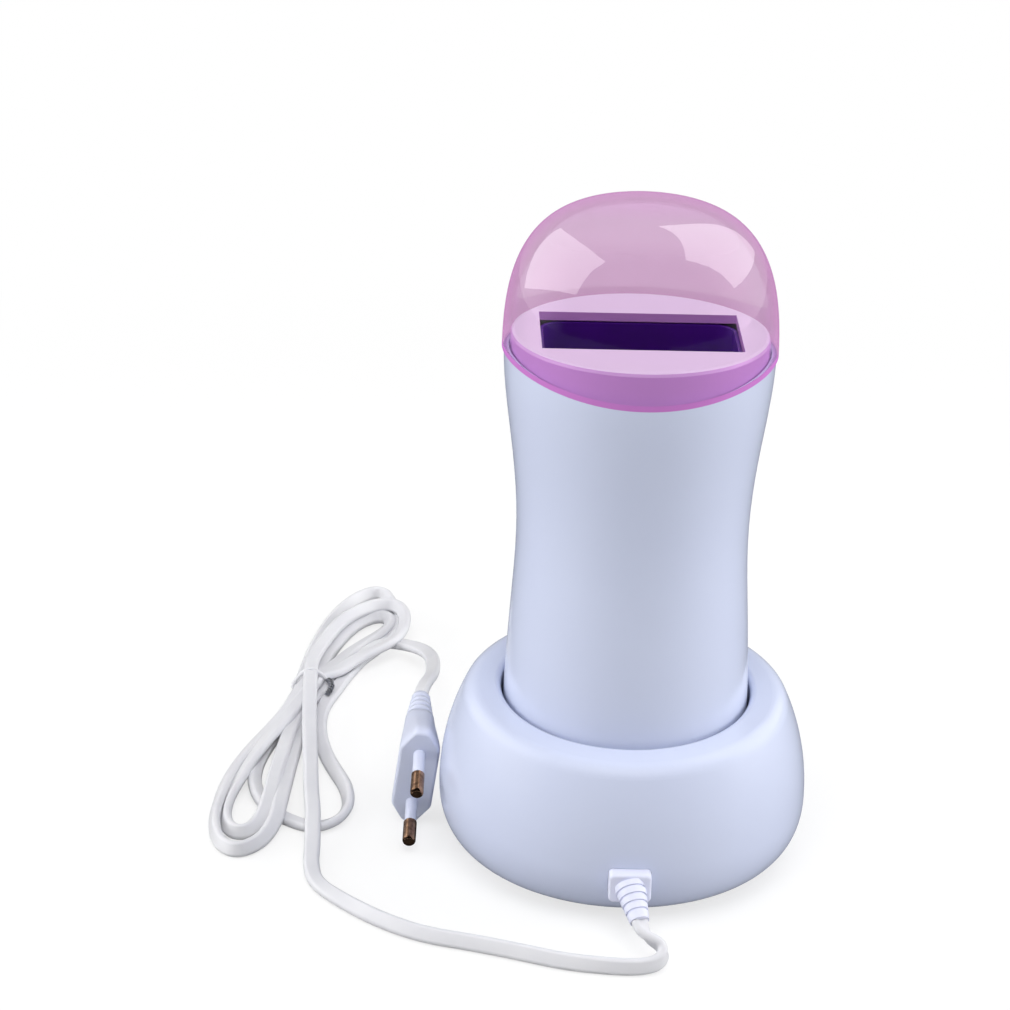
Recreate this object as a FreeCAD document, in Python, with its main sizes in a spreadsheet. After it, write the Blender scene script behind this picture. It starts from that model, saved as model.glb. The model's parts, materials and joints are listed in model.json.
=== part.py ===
import FreeCAD
import Part
import Sketcher
import math
import os

from FreeCAD import Placement, Rotation, Vector

# Roll-on wax heater: a round handset with a cartridge chamber stands in a round
# base with two sprung contacts, under a clear lift-off lid. Millimetres, +Z up,
# origin on the table under the middle of the base, -Y towards the mains cord.

doc = FreeCAD.newDocument("RollOnWaxHeater")
sheet = doc.addObject("Spreadsheet::Sheet", "Sizes")

driving = {
    # base, outside
    "bowlReach": 18.4,
    "bellyHeight": 20.5,
    "domeAboveRim": 29.5,
    "soleInset": 16.4,
    "soleHeight": 2.0,
    "bowlFullness": 2.3,
    "rimHeight": 53.5,
    "rimSlant": 4.5,
    "rimRound": 5.5,
    "rimInnerRound": 2.0,
    # base, inside
    "baseWall": 2.2,
    "rimSection": 7.0,
    "wellWall": 1.8,
    "wellFloor": 2.0,
    "seatHeight": 16.0,
    "wellClearance": 0.5,
    "plateThickness": 2.0,
    "plateClearance": 0.2,
    "plateScrewInset": 6.5,
    "baseBossRadius": 3.6,
    "footInset": 7.5,
    "footPadRadius": 4.5,
    "footStudRadius": 1.6,
    # sprung contacts in the base
    "contactSpacing": 16.0,
    "contactRadius": 2.0,
    "contactClearance": 0.3,
    "contactFlangeRadius": 3.0,
    "contactFlangeHeight": 1.2,
    "contactTravel": 2.0,
    "springRadius": 2.3,
    "springWireRadius": 0.3,
    "springTurns": 3.0,
    "cupFloor": 1.0,
    "terminalThickness": 0.6,
    "terminalWidth": 2.5,
    "terminalReach": 4.0,
    "blockHalfDepth": 6.0,
    "blockMargin": 2.2,
    "coverThickness": 1.7,
    "earLength": 7.5,
    "earThickness": 2.8,
    # mains lead where it enters the base
    "inletWidth": 12.1,
    "inletHeight": 8.8,
    "inletLevel": 16.6,
    "inletProud": 3.7,
    "inletRound": 1.5,
    "inletSetback": 5.7,
    "inletFlange": 1.5,
    "inletFlangeThickness": 1.6,
    "inletClearance": 0.1,
    "cordRadius": 1.9,
    "sheathRadius": 2.3,
    "reliefRadius": 4.6,
    "reliefTipRadius": 2.8,
    "reliefLength": 11.3,
    "reliefDip": 30.0,
    "reliefSwing": 15.0,
    "reliefSunk": 1.6,
    "reliefRingDepth": 0.5,
    "innerLeadLevel": 8.0,
    "innerLeadBend": 4.0,
    "innerLeadRun": 5.0,
    "innerLeadEnd": 26.0,
    "clampPlace": 33.5,
    "clampWidth": 5.0,
    "clampThickness": 2.7,
    "clampPostSpacing": 14.0,
    "clampPostRadius": 2.8,
    "wireRadius": 0.8,
    "wireLeadIn": 5.0,
    "wireSweep": 12.0,
    # handset
    "seatGap": 0.2,
    "footSwell": 2.8,
    "footHeight": 36.0,
    "footRound": 1.0,
    "gripSwell": 1.05,
    "gripHeight": 80.0,
    "waistRoom": 3.8,
    "waistHeight": 104.0,
    "neckSwell": 2.05,
    "neckHeight": 130.0,
    "shoulderSwell": 4.7,
    "shoulderDrop": 9.8,
    "shellWall": 1.9,
    "partingDrop": 4.8,
    "partingRadius": 143.0,
    "capThickness": 3.0,
    "capClearance": 0.15,
    "capScrewInset": 5.1,
    "shellBossRadius": 4.0,
    "capBossHeight": 11.0,
    "padRadius": 4.0,
    "padThickness": 0.8,
    "padStemRadius": 1.5,
    "padStemLength": 6.8,
    # cartridge chamber and its heaters
    "slotMargin": 1.0,
    "slotDepth": 33.0,
    "trayHeight": 162.8,
    "trayThickness": 2.5,
    "trayClearance": 0.15,
    "traySkirtWall": 1.8,
    "trayRound": 1.2,
    "ledgeDrop": 11.3,
    "ledgeThickness": 2.0,
    "ledgeReach": 3.9,
    "hookWidth": 7.0,
    "hookThickness": 1.3,
    "hookBarb": 0.8,
    "hookClearance": 0.2,
    "chamberWidth": 54.0,
    "chamberDepth": 32.0,
    "chamberWall": 1.0,
    "chamberCorner": 6.0,
    "chamberFloorHeight": 57.5,
    "chamberTopGap": 0.5,
    "supportThickness": 2.5,
    "supportClearance": 0.6,
    "supportScrewInset": 2.2,
    "supportBossHeight": 10.0,
    "wireHoleRadius": 3.0,
    "wireHolePlace": 26.5,
    "heaterInset": 7.0,
    "heaterThickness": 3.0,
    "heaterBottom": 66.0,
    "heaterTop": 136.0,
    "elementRoom": 1.0,
    "elementThickness": 2.5,
    "elementHeight": 18.0,
    "elementLevel": 99.0,
    "padSheet": 0.6,
    "bracketInset": 4.0,
    "bracketHeight": 10.0,
    "bracketSheet": 1.0,
    "bracketLeg": 4.0,
    "thermostatRadius": 8.0,
    "thermostatHeight": 5.5,
    "thermostatCollar": 1.5,
    "thermostatLevel": 124.0,
    "fuseRadius": 1.8,
    "fuseLength": 12.0,
    "fuseLevel": 122.0,
    "lampLevel": 72.0,
    "lensRadius": 3.0,
    "lensFlange": 1.0,
    "lampRadius": 2.5,
    "lampLength": 9.0,
    # lid
    "lidStep": 0.75,
    "lidBeltDrop": 11.8,
    "lidRise": 37.4,
    "lidPower": 3.05,
    "lidWall": 1.6,
    "lidGap": 0.15,
    # fasteners
    "screwRadius": 1.2,
    "screwHoleRadius": 1.5,
    "screwHeadRadius": 2.5,
    "screwHeadHeight": 1.5,
    "screwHeadClearance": 0.25,
    "screwLength": 8.0,
    # mains plug
    "plugWidth": 34.6,
    "plugFlat": 22.0,
    "plugThickness": 12.2,
    "plugEdge": 4.0,
    "plugBody": 27.5,
    "plugStraight": 3.0,
    "plugNeckRadius": 4.5,
    "plugTipRadius": 2.7,
    "plugRelief": 13.5,
    "plugLean": 7.0,
    "plugDip": 11.0,
    "plugTurn": 0.5,
    "plugStandoff": 7.3,
    "plugFloorGap": 0.05,
    "pinSpacing": 18.6,
    "pinRadius": 2.0,
    "pinLength": 19.0,
    "sleeveLength": 10.0,
    "sleeveRadius": 1.8,
    "pinRound": 1.0,
    # hank of cord and its tie
    "hankBottom": 0.6,
    "hankHeight": 7.4,
    "tieWidth": 3.0,
    "tieSheet": 0.6,
    "tieClearance": 0.1,
}


class Size:
    """A number together with the spreadsheet expression that gives it."""

    def __init__(self, value, text):
        self.value = float(value)
        self.text = text

    def __add__(self, other):
        other = asSize(other)
        return Size(self.value + other.value, f"({self.text} + {other.text})")

    def __sub__(self, other):
        other = asSize(other)
        return Size(self.value - other.value, f"({self.text} - {other.text})")

    def __mul__(self, other):
        other = asSize(other)
        return Size(self.value * other.value, f"({self.text} * {other.text})")

    def __truediv__(self, other):
        other = asSize(other)
        return Size(self.value / other.value, f"({self.text} / {other.text})")

    def __radd__(self, other):
        return asSize(other) + self

    def __rsub__(self, other):
        return asSize(other) - self

    def __rmul__(self, other):
        return asSize(other) * self

    def __neg__(self):
        return asSize(0) - self


def asSize(number):
    if isinstance(number, Size):
        return number
    return Size(number, repr(float(number)))


class Sheet:
    """The driving sizes by name, as s.bellyRadius and so on."""


s = Sheet()
for row, (name, number) in enumerate(driving.items(), start=1):
    sheet.set(f"A{row}", name)
    sheet.set(f"B{row}", str(number))
    sheet.setAlias(f"B{row}", name)
    setattr(s, name, Size(number, f"Sizes.{name}"))
doc.recompute()

nodes = []
X, Y, Z = Vector(1, 0, 0), Vector(0, 1, 0), Vector(0, 0, 1)
alongAxis = {
    "X": Rotation(Z, X),
    "Y": Rotation(Z, Y),
    "-Y": Rotation(Z, -Y),
    "Z": Rotation(),
    "-Z": Rotation(Z, -Z),
}


# ---- helpers -----------------------------------------------------------------


def keep(item, label):
    """Makes item a sub-part of the model under this name."""
    item.Label = label
    nodes.append(item)
    return item


def bind(item, **sizes):
    for path, size in sizes.items():
        item.setExpression(path, asSize(size).text)


def place(item, at, turn="Z"):
    item.Placement = Placement(Vector(*(asSize(c).value for c in at)), alongAxis[turn])
    for letter, size in zip("xyz", at):
        item.setExpression(f"Placement.Base.{letter}", asSize(size).text)


def box(name, low, high):
    item = doc.addObject("Part::Box", name)
    bind(item, Length=high[0] - low[0], Width=high[1] - low[1], Height=high[2] - low[2])
    place(item, low)
    return item


def rod(name, radius, at, length, turn="Z"):
    item = doc.addObject("Part::Cylinder", name)
    bind(item, Radius=radius, Height=length)
    place(item, at, turn)
    return item


def cone(name, radius, tipRadius, at, length, turn="Z"):
    item = doc.addObject("Part::Cone", name)
    bind(item, Radius1=radius, Radius2=tipRadius, Height=length)
    place(item, at, turn)
    return item


def ball(name, radius, at):
    item = doc.addObject("Part::Sphere", name)
    bind(item, Radius=radius)
    place(item, at)
    return item


def fuse(name, items):
    item = doc.addObject("Part::MultiFuse", name)
    item.Shapes = items
    return item


def cut(name, base, tools):
    item = doc.addObject("Part::Cut", name)
    item.Base = base
    item.Tool = tools[0] if len(tools) == 1 else fuse(name + "_tools", tools)
    return item


def common(name, items):
    item = doc.addObject("Part::MultiCommon", name)
    item.Shapes = items
    return item


def group(name, items):
    item = doc.addObject("Part::Compound", name)
    item.Links = items
    return item


def turned(name, edges, angle=360.0):
    """A solid of revolution about Z, from a closed outline of edges in the XZ plane."""
    outline = Part.Wire(Part.__sortEdges__(edges))
    item = doc.addObject("Part::Feature", name)
    item.Shape = Part.Face(outline).revolve(Vector(), Z, angle)
    return item


def line(start, end):
    return Part.LineSegment(Vector(start[0], 0, start[1]), Vector(end[0], 0, end[1])).toShape()


def smooth(points, startTangent=None, endTangent=None):
    """A smooth edge through (radius, height) points in the XZ plane."""
    curve = Part.BSplineCurve()
    through = [Vector(r, 0, z) for r, z in points]
    if startTangent is None:
        curve.interpolate(through)
    else:
        ends = {"InitialTangent": Vector(startTangent[0], 0, startTangent[1]),
                "FinalTangent": Vector(endTangent[0], 0, endTangent[1])}
        curve.interpolate(Points=through, **ends)
    return curve.toShape()


def polar(count, first=0.0):
    """Directions of count places round a circle, as (cosine, sine) pairs."""
    angles = (math.radians(first + 360.0 * k / count) for k in range(count))
    return [(math.cos(angle), math.sin(angle)) for angle in angles]


def newBody(label):
    body = doc.addObject("PartDesign::Body", label + "_body")
    return keep(body, label)


def sketchOn(body, name, plane, offset=0.0):
    sketch = body.newObject("Sketcher::SketchObject", name)
    face = next(f for f in body.Origin.OriginFeatures if f.Role == plane)
    sketch.AttachmentSupport = (face, [""])
    sketch.MapMode = "FlatFace"
    sketch.setExpression("AttachmentOffset.Base.z", asSize(offset).text)
    return sketch


def dimension(sketch, kind, first, second, size):
    size = asSize(size)
    constraint = Sketcher.Constraint(kind, *first, *second, size.value)
    sketch.setExpression(f"Constraints[{sketch.addConstraint(constraint)}]", size.text)


def polygon(sketch, corners):
    """A closed outline whose every corner is dimensioned from the origin."""
    first = sketch.GeometryCount
    count = len(corners)
    spots = [Vector(asSize(x).value, asSize(y).value, 0) for x, y in corners]
    for k in range(count):
        sketch.addGeometry(Part.LineSegment(spots[k], spots[(k + 1) % count]))
    for k in range(count):
        after = first + (k + 1) % count
        sketch.addConstraint(Sketcher.Constraint("Coincident", first + k, 2, after, 1))
    for k, (x, y) in enumerate(corners):
        dimension(sketch, "DistanceX", (-1, 1), (first + k, 1), x)
        dimension(sketch, "DistanceY", (-1, 1), (first + k, 1), y)


def circle(sketch, centre, radius):
    spot = Vector(asSize(centre[0]).value, asSize(centre[1]).value, 0)
    radius = asSize(radius)
    index = sketch.addGeometry(Part.Circle(spot, Z, radius.value))
    dimension(sketch, "DistanceX", (-1, 1), (index, 3), centre[0])
    dimension(sketch, "DistanceY", (-1, 1), (index, 3), centre[1])
    ring = sketch.addConstraint(Sketcher.Constraint("Radius", index, radius.value))
    sketch.setExpression(f"Constraints[{ring}]", radius.text)


def rectangle(sketch, low, high):
    polygon(sketch, [low, (high[0], low[1]), high, (low[0], high[1])])


def feature(body, kind, name, sketch, **sizes):
    item = body.newObject("PartDesign::" + kind, name)
    item.Profile = sketch
    bind(item, **sizes)
    sketch.Visibility = False
    return item


def revolved(body, name, corners, kind="Revolution"):
    """Turns a polygon of (radius, height) corners about Z, as a solid or a groove."""
    sketch = sketchOn(body, name + "_outline", "XZ_Plane")
    polygon(sketch, corners)
    item = feature(body, kind, name, sketch)
    item.ReferenceAxis = (sketch, ["V_Axis"])
    item.Angle = 360.0
    return item


def pad(body, name, sketch, length):
    return feature(body, "Pad", name, sketch, Length=length)


def drill(body, name, sketch, depth, upwards=True):
    """A pocket of this depth, towards +Z or -Z of the sketch."""
    item = feature(body, "Pocket", name, sketch, Length=depth)
    item.Reversed = upwards
    return item


def roundEdges(body, name, base, radius, wanted):
    """Fillets the edges of base that wanted(edge) picks."""
    doc.recompute()
    picked = [f"Edge{k}" for k, edge in enumerate(base.Shape.Edges, 1) if wanted(edge)]
    if not picked:
        raise RuntimeError(f"{name}: no edge to round")
    item = body.newObject("PartDesign::Fillet", name)
    item.Base = (base, picked)
    bind(item, Radius=radius)
    return item


def upright(edge):
    ends = [v.Point for v in edge.Vertexes]
    return len(ends) == 2 and abs(ends[0].z - ends[1].z) > 0.5 and (ends[0] - ends[1]).cross(Z).Length < 1e-6


def route(points):
    """Straight runs joined by tangent arcs, as large as the runs allow."""
    share = 0.45
    points = [Vector(*p) for p in points]
    edges, radii = [], []
    start = points[0]
    for before, corner, after in zip(points, points[1:], points[2:]):
        come, go = (corner - before), (after - corner)
        turn = come.getAngle(go)
        trim = share * min(come.Length, go.Length)
        come.normalize()
        go.normalize()
        enter, leave = corner - come * trim, corner + go * trim
        radius = trim / math.tan(turn / 2)
        inward = go - come
        inward.normalize()
        middle = corner + inward * (radius / math.cos(turn / 2) - radius)
        edges.append(Part.LineSegment(start, enter).toShape())
        edges.append(Part.Arc(enter, middle, leave).toShape())
        radii.append(radius)
        start = leave
    edges.append(Part.LineSegment(start, points[-1]).toShape())
    return Part.Wire(edges), radii


def tube(name, points, radius):
    """A round cord or wire along a route, with its volume checked."""
    path, radii = route(points)
    start = Vector(*points[0])
    heading = Vector(*points[1]) - start
    ring = Part.Wire(Part.makeCircle(radius, start, heading))
    solid = path.makePipeShell([ring], True, False)
    expected = math.pi * radius**2 * path.Length
    print(f"{name}: {path.Length:.1f} long, tightest arc {min(radii):.1f}, radii",
          [round(r, 1) for r in radii], f"volume ratio {solid.Volume / expected:.4f}")
    item = doc.addObject("Part::Feature", name)
    item.Shape = solid
    return item


def screw(name, at, turn, length):
    """A pan-head screw: at is under the head, turn points along the shank."""
    back = {"Z": (0, 0, -1), "-Z": (0, 0, 1), "Y": (0, -1, 0), "-Y": (0, 1, 0)}[turn]
    headAt = [a + b * s.screwHeadHeight for a, b in zip(at, back)]
    head = rod(name + "_head", s.screwHeadRadius, headAt, s.screwHeadHeight, turn)
    shank = rod(name + "_shank", s.screwRadius, at, length, turn)
    return fuse(name, [head, shank])


def mirrored(name, item):
    """The same piece on the other side of the YZ plane."""
    other = doc.addObject("Part::Mirroring", name)
    other.Source = item
    other.Normal = X
    return other


# ---- sizes that follow from the cartridge chamber outwards ---------------------------

zero = asSize(0)
slotWidth = s.chamberWidth + 2 * s.slotMargin
waistRadius = s.chamberWidth / 2 + s.chamberWall + s.waistRoom + s.shellWall
footRadius = waistRadius + s.footSwell
gripRadius = waistRadius + s.gripSwell
neckRadius = waistRadius + s.neckSwell
shoulderRadius = waistRadius + s.shoulderSwell
lidRadius = shoulderRadius + s.lidStep
ledgeRadius = shoulderRadius - s.ledgeReach
capScrewCircle = footRadius - s.capScrewInset
supportRadius = (footRadius + gripRadius) / 2 - s.shellWall - s.supportClearance
supportScrewCircle = supportRadius - s.supportScrewInset
heaterWidth = s.chamberWidth - 2 * s.heaterInset
bracketWidth = heaterWidth - 2 * s.bracketInset
elementWidth = bracketWidth - 2 * s.bracketLeg - 2 * s.elementRoom
bellyRadius = footRadius + s.bowlReach
soleRadius = bellyRadius - s.soleInset
plateScrewCircle = soleRadius - s.plateScrewInset
footCircle = soleRadius - s.footInset

# ---- heights that follow from the tray and from the base's rim ----------------------

shoulderHeight = s.trayHeight - s.shoulderDrop
partingHeight = s.trayHeight - s.partingDrop
ledgeHeight = s.trayHeight - s.ledgeDrop
lidBelt = s.trayHeight - s.lidBeltDrop
lidTop = s.trayHeight + s.lidRise
domeRise = s.rimHeight - s.bellyHeight + s.domeAboveRim

# ---- base ----------------------------------------------------------------------

wellRadius = footRadius + s.wellClearance
wellUnderside = s.seatHeight - s.wellFloor
plateTop = s.soleHeight + s.plateThickness
plateRadius = soleRadius - s.baseWall - s.plateClearance
cavityTop = s.rimHeight - s.rimSection
contactX = s.contactSpacing / 2
coverBottom = wellUnderside - s.coverThickness
earX = contactX + s.contactFlangeRadius + s.blockMargin + s.earLength / 2
inletFace = bellyRadius + s.inletProud
flangeFront = bellyRadius - s.inletSetback
inletBack = flangeFront - s.inletFlangeThickness


def bowl(name, inset, bottom, start):
    """The base's round shape at a depth under its skin: a sole, a curved foot and a tall dome."""
    belly = bellyRadius.value - inset
    sole = soleRadius.value - inset
    rise = domeRise.value - inset
    level = s.bellyHeight.value
    steps = 8
    share = 2 / s.bowlFullness.value
    under = [(sole + (belly - sole) * math.sin(a) ** share, level - (level - start) * math.cos(a) ** share)
             for a in (math.pi / 2 * k / steps for k in range(steps + 1))]
    under[-1] = (belly, level)
    top = math.radians(80)
    over = [(belly * math.cos(a), level + rise * math.sin(a)) for a in (top * k / steps for k in range(steps + 1))]
    edges = [line((0, bottom), (sole, bottom)), smooth(under), smooth(over),
             line(over[-1], (0, over[-1][1])), line((0, over[-1][1]), (0, bottom))]
    if bottom < start:
        edges.append(line((sole, bottom), under[0]))
    return turned(name, edges)


def makeBaseShell():
    skin = bowl("base_skin", 0.0, s.soleHeight.value, s.soleHeight.value)
    hollow = bowl("base_hollow", s.baseWall.value, 0.0, plateTop.value)
    lowered = box("base_hollow_limit", (-bellyRadius, -bellyRadius, zero),
                  (bellyRadius, bellyRadius, cavityTop))
    well = rod("well_skin", wellRadius + s.wellWall, (zero, zero, wellUnderside), s.rimHeight)
    cavity = cut("base_cavity", common("base_hollow_low", [hollow, lowered]), [well])
    wellSpace = rod("well_space", wellRadius, (zero, zero, s.seatHeight), s.rimHeight)
    reach = 2 * bellyRadius
    above = doc.addObject("Part::Box", "rim_slant_tool")
    bind(above, Length=reach, Width=reach, Height=reach)
    above.Placement = Placement(Vector(), Rotation(X, s.rimSlant.value))
    tilt = f"{s.rimSlant.text}"
    above.setExpression("Placement.Rotation.Angle", tilt)
    above.setExpression("Placement.Base.x", (-bellyRadius).text)
    above.setExpression("Placement.Base.y", f"-{bellyRadius.text} * cos({tilt} * 1 deg)")
    above.setExpression("Placement.Base.z",
                        f"{s.rimHeight.text} - {bellyRadius.text} * sin({tilt} * 1 deg)")
    hollowed = cut("base_hollowed", skin, [cavity])
    ring = cut("base_ring", cut("base_open", hollowed, [wellSpace]), [above])

    bosses = []
    for k, (c, d) in enumerate(polar(3, 90)):
        at = (c * plateScrewCircle, d * plateScrewCircle, plateTop)
        bosses.append(rod(f"plate_boss_{k}", s.baseBossRadius, at, wellUnderside - plateTop + s.wellFloor / 2))
    for side in (-1, 1):
        at = (side * earX, zero, wellUnderside)
        bosses.append(rod(f"block_boss_{side + 1}", s.baseBossRadius, at, s.wellFloor / 2))
    solid = fuse("base_solid", [ring] + bosses)

    holes = []
    for k, (c, d) in enumerate(polar(3, 90)):
        at = (c * plateScrewCircle, d * plateScrewCircle, plateTop)
        holes.append(rod(f"plate_hole_{k}", s.screwRadius, at, s.screwLength))
    for side in (-1, 1):
        holes.append(rod(f"contact_hole_{side + 1}", s.contactRadius + s.contactClearance,
                         (side * contactX, zero, wellUnderside), s.wellFloor))
        holes.append(rod(f"block_hole_{side + 1}", s.screwRadius,
                         (side * earX, zero, wellUnderside), s.wellFloor / 2))
    half = s.inletWidth / 2 + s.inletClearance
    lift = s.inletHeight / 2 + s.inletClearance
    window = box("inlet_window_block", (-half, -inletFace, s.inletLevel - lift),
                 (half, -flangeFront + s.baseWall, s.inletLevel + lift))
    doc.recompute()
    rounded = doc.addObject("Part::Fillet", "inlet_window")
    rounded.Base = window
    corner = (s.inletRound + s.inletClearance).value
    rounded.Edges = [(k, corner, corner) for k, edge in enumerate(window.Shape.Edges, 1)
                     if edge.BoundBox.XLength + edge.BoundBox.ZLength < 1e-3]
    holes.append(rounded)
    drilled = cut("base_drilled", solid, holes)
    doc.recompute()

    outer, inner = [], []
    for k, edge in enumerate(drilled.Shape.Edges, 1):
        middle = edge.CenterOfMass
        low, high = edge.BoundBox.ZMin, edge.BoundBox.ZMax
        width = edge.BoundBox.XLength / 2
        if low > cavityTop.value + 1 and width > wellRadius.value - 1:
            (outer if width > wellRadius.value + 1.5 else inner).append(k)
    shell = doc.addObject("Part::Fillet", "base_shell_rounded")
    shell.Base = drilled
    r = s.rimRound.value
    lip = s.rimInnerRound.value
    shell.Edges = [(k, r, r) for k in outer] + [(k, lip, lip) for k in inner]
    return keep(shell, "base_shell")


baseShell = makeBaseShell()


def makeBottomPlate():
    body = newBody("base_bottom_plate")
    disc = sketchOn(body, "plate_outline", "XY_Plane", s.soleHeight)
    circle(disc, (zero, zero), plateRadius)
    pad(body, "plate_disc", disc, s.plateThickness)
    # saddle rib and two posts for the cord clamp
    rib = sketchOn(body, "saddle_outline", "XY_Plane", plateTop)
    rectangle(rib, (-s.sheathRadius * 1.6, -s.clampPlace - s.clampWidth / 2),
              (s.sheathRadius * 1.6, -s.clampPlace + s.clampWidth / 2))
    pad(body, "saddle_rib", rib, s.innerLeadLevel - s.sheathRadius - plateTop)
    posts = sketchOn(body, "post_outline", "XY_Plane", plateTop)
    for side in (-1, 1):
        circle(posts, (side * s.clampPostSpacing / 2, -s.clampPlace), s.clampPostRadius)
    pad(body, "clamp_posts", posts, s.innerLeadLevel + s.sheathRadius - plateTop)
    pilot = sketchOn(body, "post_pilot", "XY_Plane", plateTop)
    for side in (-1, 1):
        circle(pilot, (side * s.clampPostSpacing / 2, -s.clampPlace), s.screwRadius)
    drill(body, "post_holes", pilot, s.innerLeadLevel + s.sheathRadius - plateTop)
    through = sketchOn(body, "screw_places", "XY_Plane", s.soleHeight)
    heads = sketchOn(body, "head_places", "XY_Plane", s.soleHeight)
    for c, d in polar(3, 90):
        spot = (c * plateScrewCircle, d * plateScrewCircle)
        circle(through, spot, s.screwHoleRadius)
        circle(heads, spot, s.screwHeadRadius + s.screwHeadClearance)
    drill(body, "screw_holes", through, s.plateThickness)
    drill(body, "head_recesses", heads, s.plateThickness / 2)
    studs = sketchOn(body, "foot_places", "XY_Plane", s.soleHeight)
    for c, d in polar(4, 45):
        circle(studs, (c * footCircle, d * footCircle), s.footStudRadius)
    drill(body, "foot_holes", studs, s.plateThickness)


def makeFeet():
    feet = []
    for k, (c, d) in enumerate(polar(4, 45)):
        spot = (c * footCircle, d * footCircle)
        padPiece = cone(f"foot_pad_{k}", s.footPadRadius * 0.9, s.footPadRadius, (*spot, zero), s.soleHeight)
        stud = rod(f"foot_stud_{k}", s.footStudRadius, (*spot, s.soleHeight), s.plateThickness + s.seatGap)
        feet.append(fuse(f"foot_{k}", [padPiece, stud]))
    keep(group("feet", feet), "base_feet")


def makeBaseScrews():
    under = s.soleHeight + s.plateThickness / 2
    screws = [screw(f"plate_screw_{k}", (c * plateScrewCircle, d * plateScrewCircle, under), "Z",
                    s.screwLength) for k, (c, d) in enumerate(polar(3, 90))]
    keep(group("plate_screws", screws), "base_screws")


makeBottomPlate()
makeFeet()
makeBaseScrews()

# ---- sprung contacts -----------------------------------------------------------

flangeTop = coverBottom
flangeBottom = flangeTop - s.contactFlangeHeight
springLength = s.contactTravel * 2
springBottom = flangeBottom - springLength
terminalBottom = springBottom - s.terminalThickness
blockBottom = terminalBottom - s.cupFloor
blockX = contactX + s.contactFlangeRadius + s.blockMargin


def makeContactBlock():
    body = newBody("contact_block")
    outline = sketchOn(body, "block_outline", "XY_Plane", blockBottom)
    rectangle(outline, (-blockX, -s.blockHalfDepth), (blockX, s.blockHalfDepth))
    pad(body, "block_pad", outline, coverBottom - blockBottom)
    ears = sketchOn(body, "ear_outline", "XY_Plane", coverBottom - s.earThickness)
    rectangle(ears, (-blockX - s.earLength, -s.blockHalfDepth / 2),
              (blockX + s.earLength, s.blockHalfDepth / 2))
    pad(body, "ear_pad", ears, s.earThickness)
    cups = sketchOn(body, "cup_places", "XY_Plane", terminalBottom)
    slots = sketchOn(body, "slot_places", "XY_Plane", terminalBottom)
    holes = sketchOn(body, "ear_hole_places", "XY_Plane", coverBottom - s.earThickness)
    for side in (-1, 1):
        circle(cups, (side * contactX, zero), s.contactFlangeRadius + s.contactClearance)
        middle = side * contactX
        rectangle(slots, (middle - s.terminalWidth / 2, -s.blockHalfDepth),
                  (middle + s.terminalWidth / 2, zero))
        circle(holes, (side * earX, zero), s.screwHoleRadius)
    drill(body, "cups", cups, coverBottom - terminalBottom)
    drill(body, "terminal_slots", slots, s.terminalThickness)
    drill(body, "ear_holes", holes, s.earThickness)


def makeContactCover():
    body = newBody("contact_cover")
    outline = sketchOn(body, "cover_outline", "XY_Plane", coverBottom)
    rectangle(outline, (-blockX - s.earLength, -s.blockHalfDepth), (blockX + s.earLength, s.blockHalfDepth))
    pad(body, "cover_pad", outline, s.coverThickness)
    holes = sketchOn(body, "cover_hole_places", "XY_Plane", coverBottom)
    for side in (-1, 1):
        circle(holes, (side * contactX, zero), s.contactRadius + s.contactClearance)
        circle(holes, (side * earX, zero), s.screwHoleRadius)
    drill(body, "cover_holes", holes, s.coverThickness)


def makeContacts():
    terminals = []
    for side, label in ((-1, "left"), (1, "right")):
        x = side * contactX
        body = newBody(f"contact_pin_{label}")
        top = s.seatHeight + s.seatGap
        tip = s.contactRadius * 0.7
        corners = [(zero, flangeBottom), (s.contactFlangeRadius, flangeBottom),
                   (s.contactFlangeRadius, flangeTop), (s.contactRadius, flangeTop),
                   (s.contactRadius, top - s.contactRadius + tip), (tip, top), (zero, top)]
        revolved(body, "pin_turned", corners)
        place(body, (x, zero, zero))

        disc = rod(f"terminal_disc_{label}", s.contactFlangeRadius, (x, zero, terminalBottom),
                   s.terminalThickness)
        tab = box(f"terminal_tab_{label}",
                  (x - s.terminalWidth / 2, -s.blockHalfDepth - s.terminalReach, terminalBottom),
                  (x + s.terminalWidth / 2, zero, terminalBottom + s.terminalThickness))
        terminals.append(fuse(f"terminal_{label}", [disc, tab]))

        coil = Part.makeHelix((springLength.value - 2 * s.springWireRadius.value) / s.springTurns.value,
                              springLength.value - 2 * s.springWireRadius.value, s.springRadius.value)
        wire = Part.Wire(coil.Edges)
        section = Part.Wire(Part.makeCircle(s.springWireRadius.value, Vector(s.springRadius.value, 0, 0), Y))
        spring = doc.addObject("Part::Feature", f"spring_{label}")
        spring.Shape = wire.makePipeShell([section], True, True)
        spring.Placement = Placement(
            Vector(x.value, 0, springBottom.value + s.springWireRadius.value), Rotation())
        keep(spring, f"contact_spring_{label}")
    keep(group("terminals", terminals), "contact_terminals")
    screws = [screw(f"block_screw_{side + 1}", (side * earX, zero, coverBottom - s.earThickness), "Z",
                    s.earThickness + s.coverThickness + s.wellFloor / 2) for side in (-1, 1)]
    keep(group("block_screws_group", screws), "block_screws")


makeContactBlock()
makeContactCover()
makeContacts()

# ---- mains lead inlet, clamp and wires in the base -------------------------------

dip, swing = math.radians(s.reliefDip.value), math.radians(s.reliefSwing.value)
reliefWay = Vector(math.sin(swing) * math.cos(dip), -math.cos(swing) * math.cos(dip), -math.sin(dip))

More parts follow.
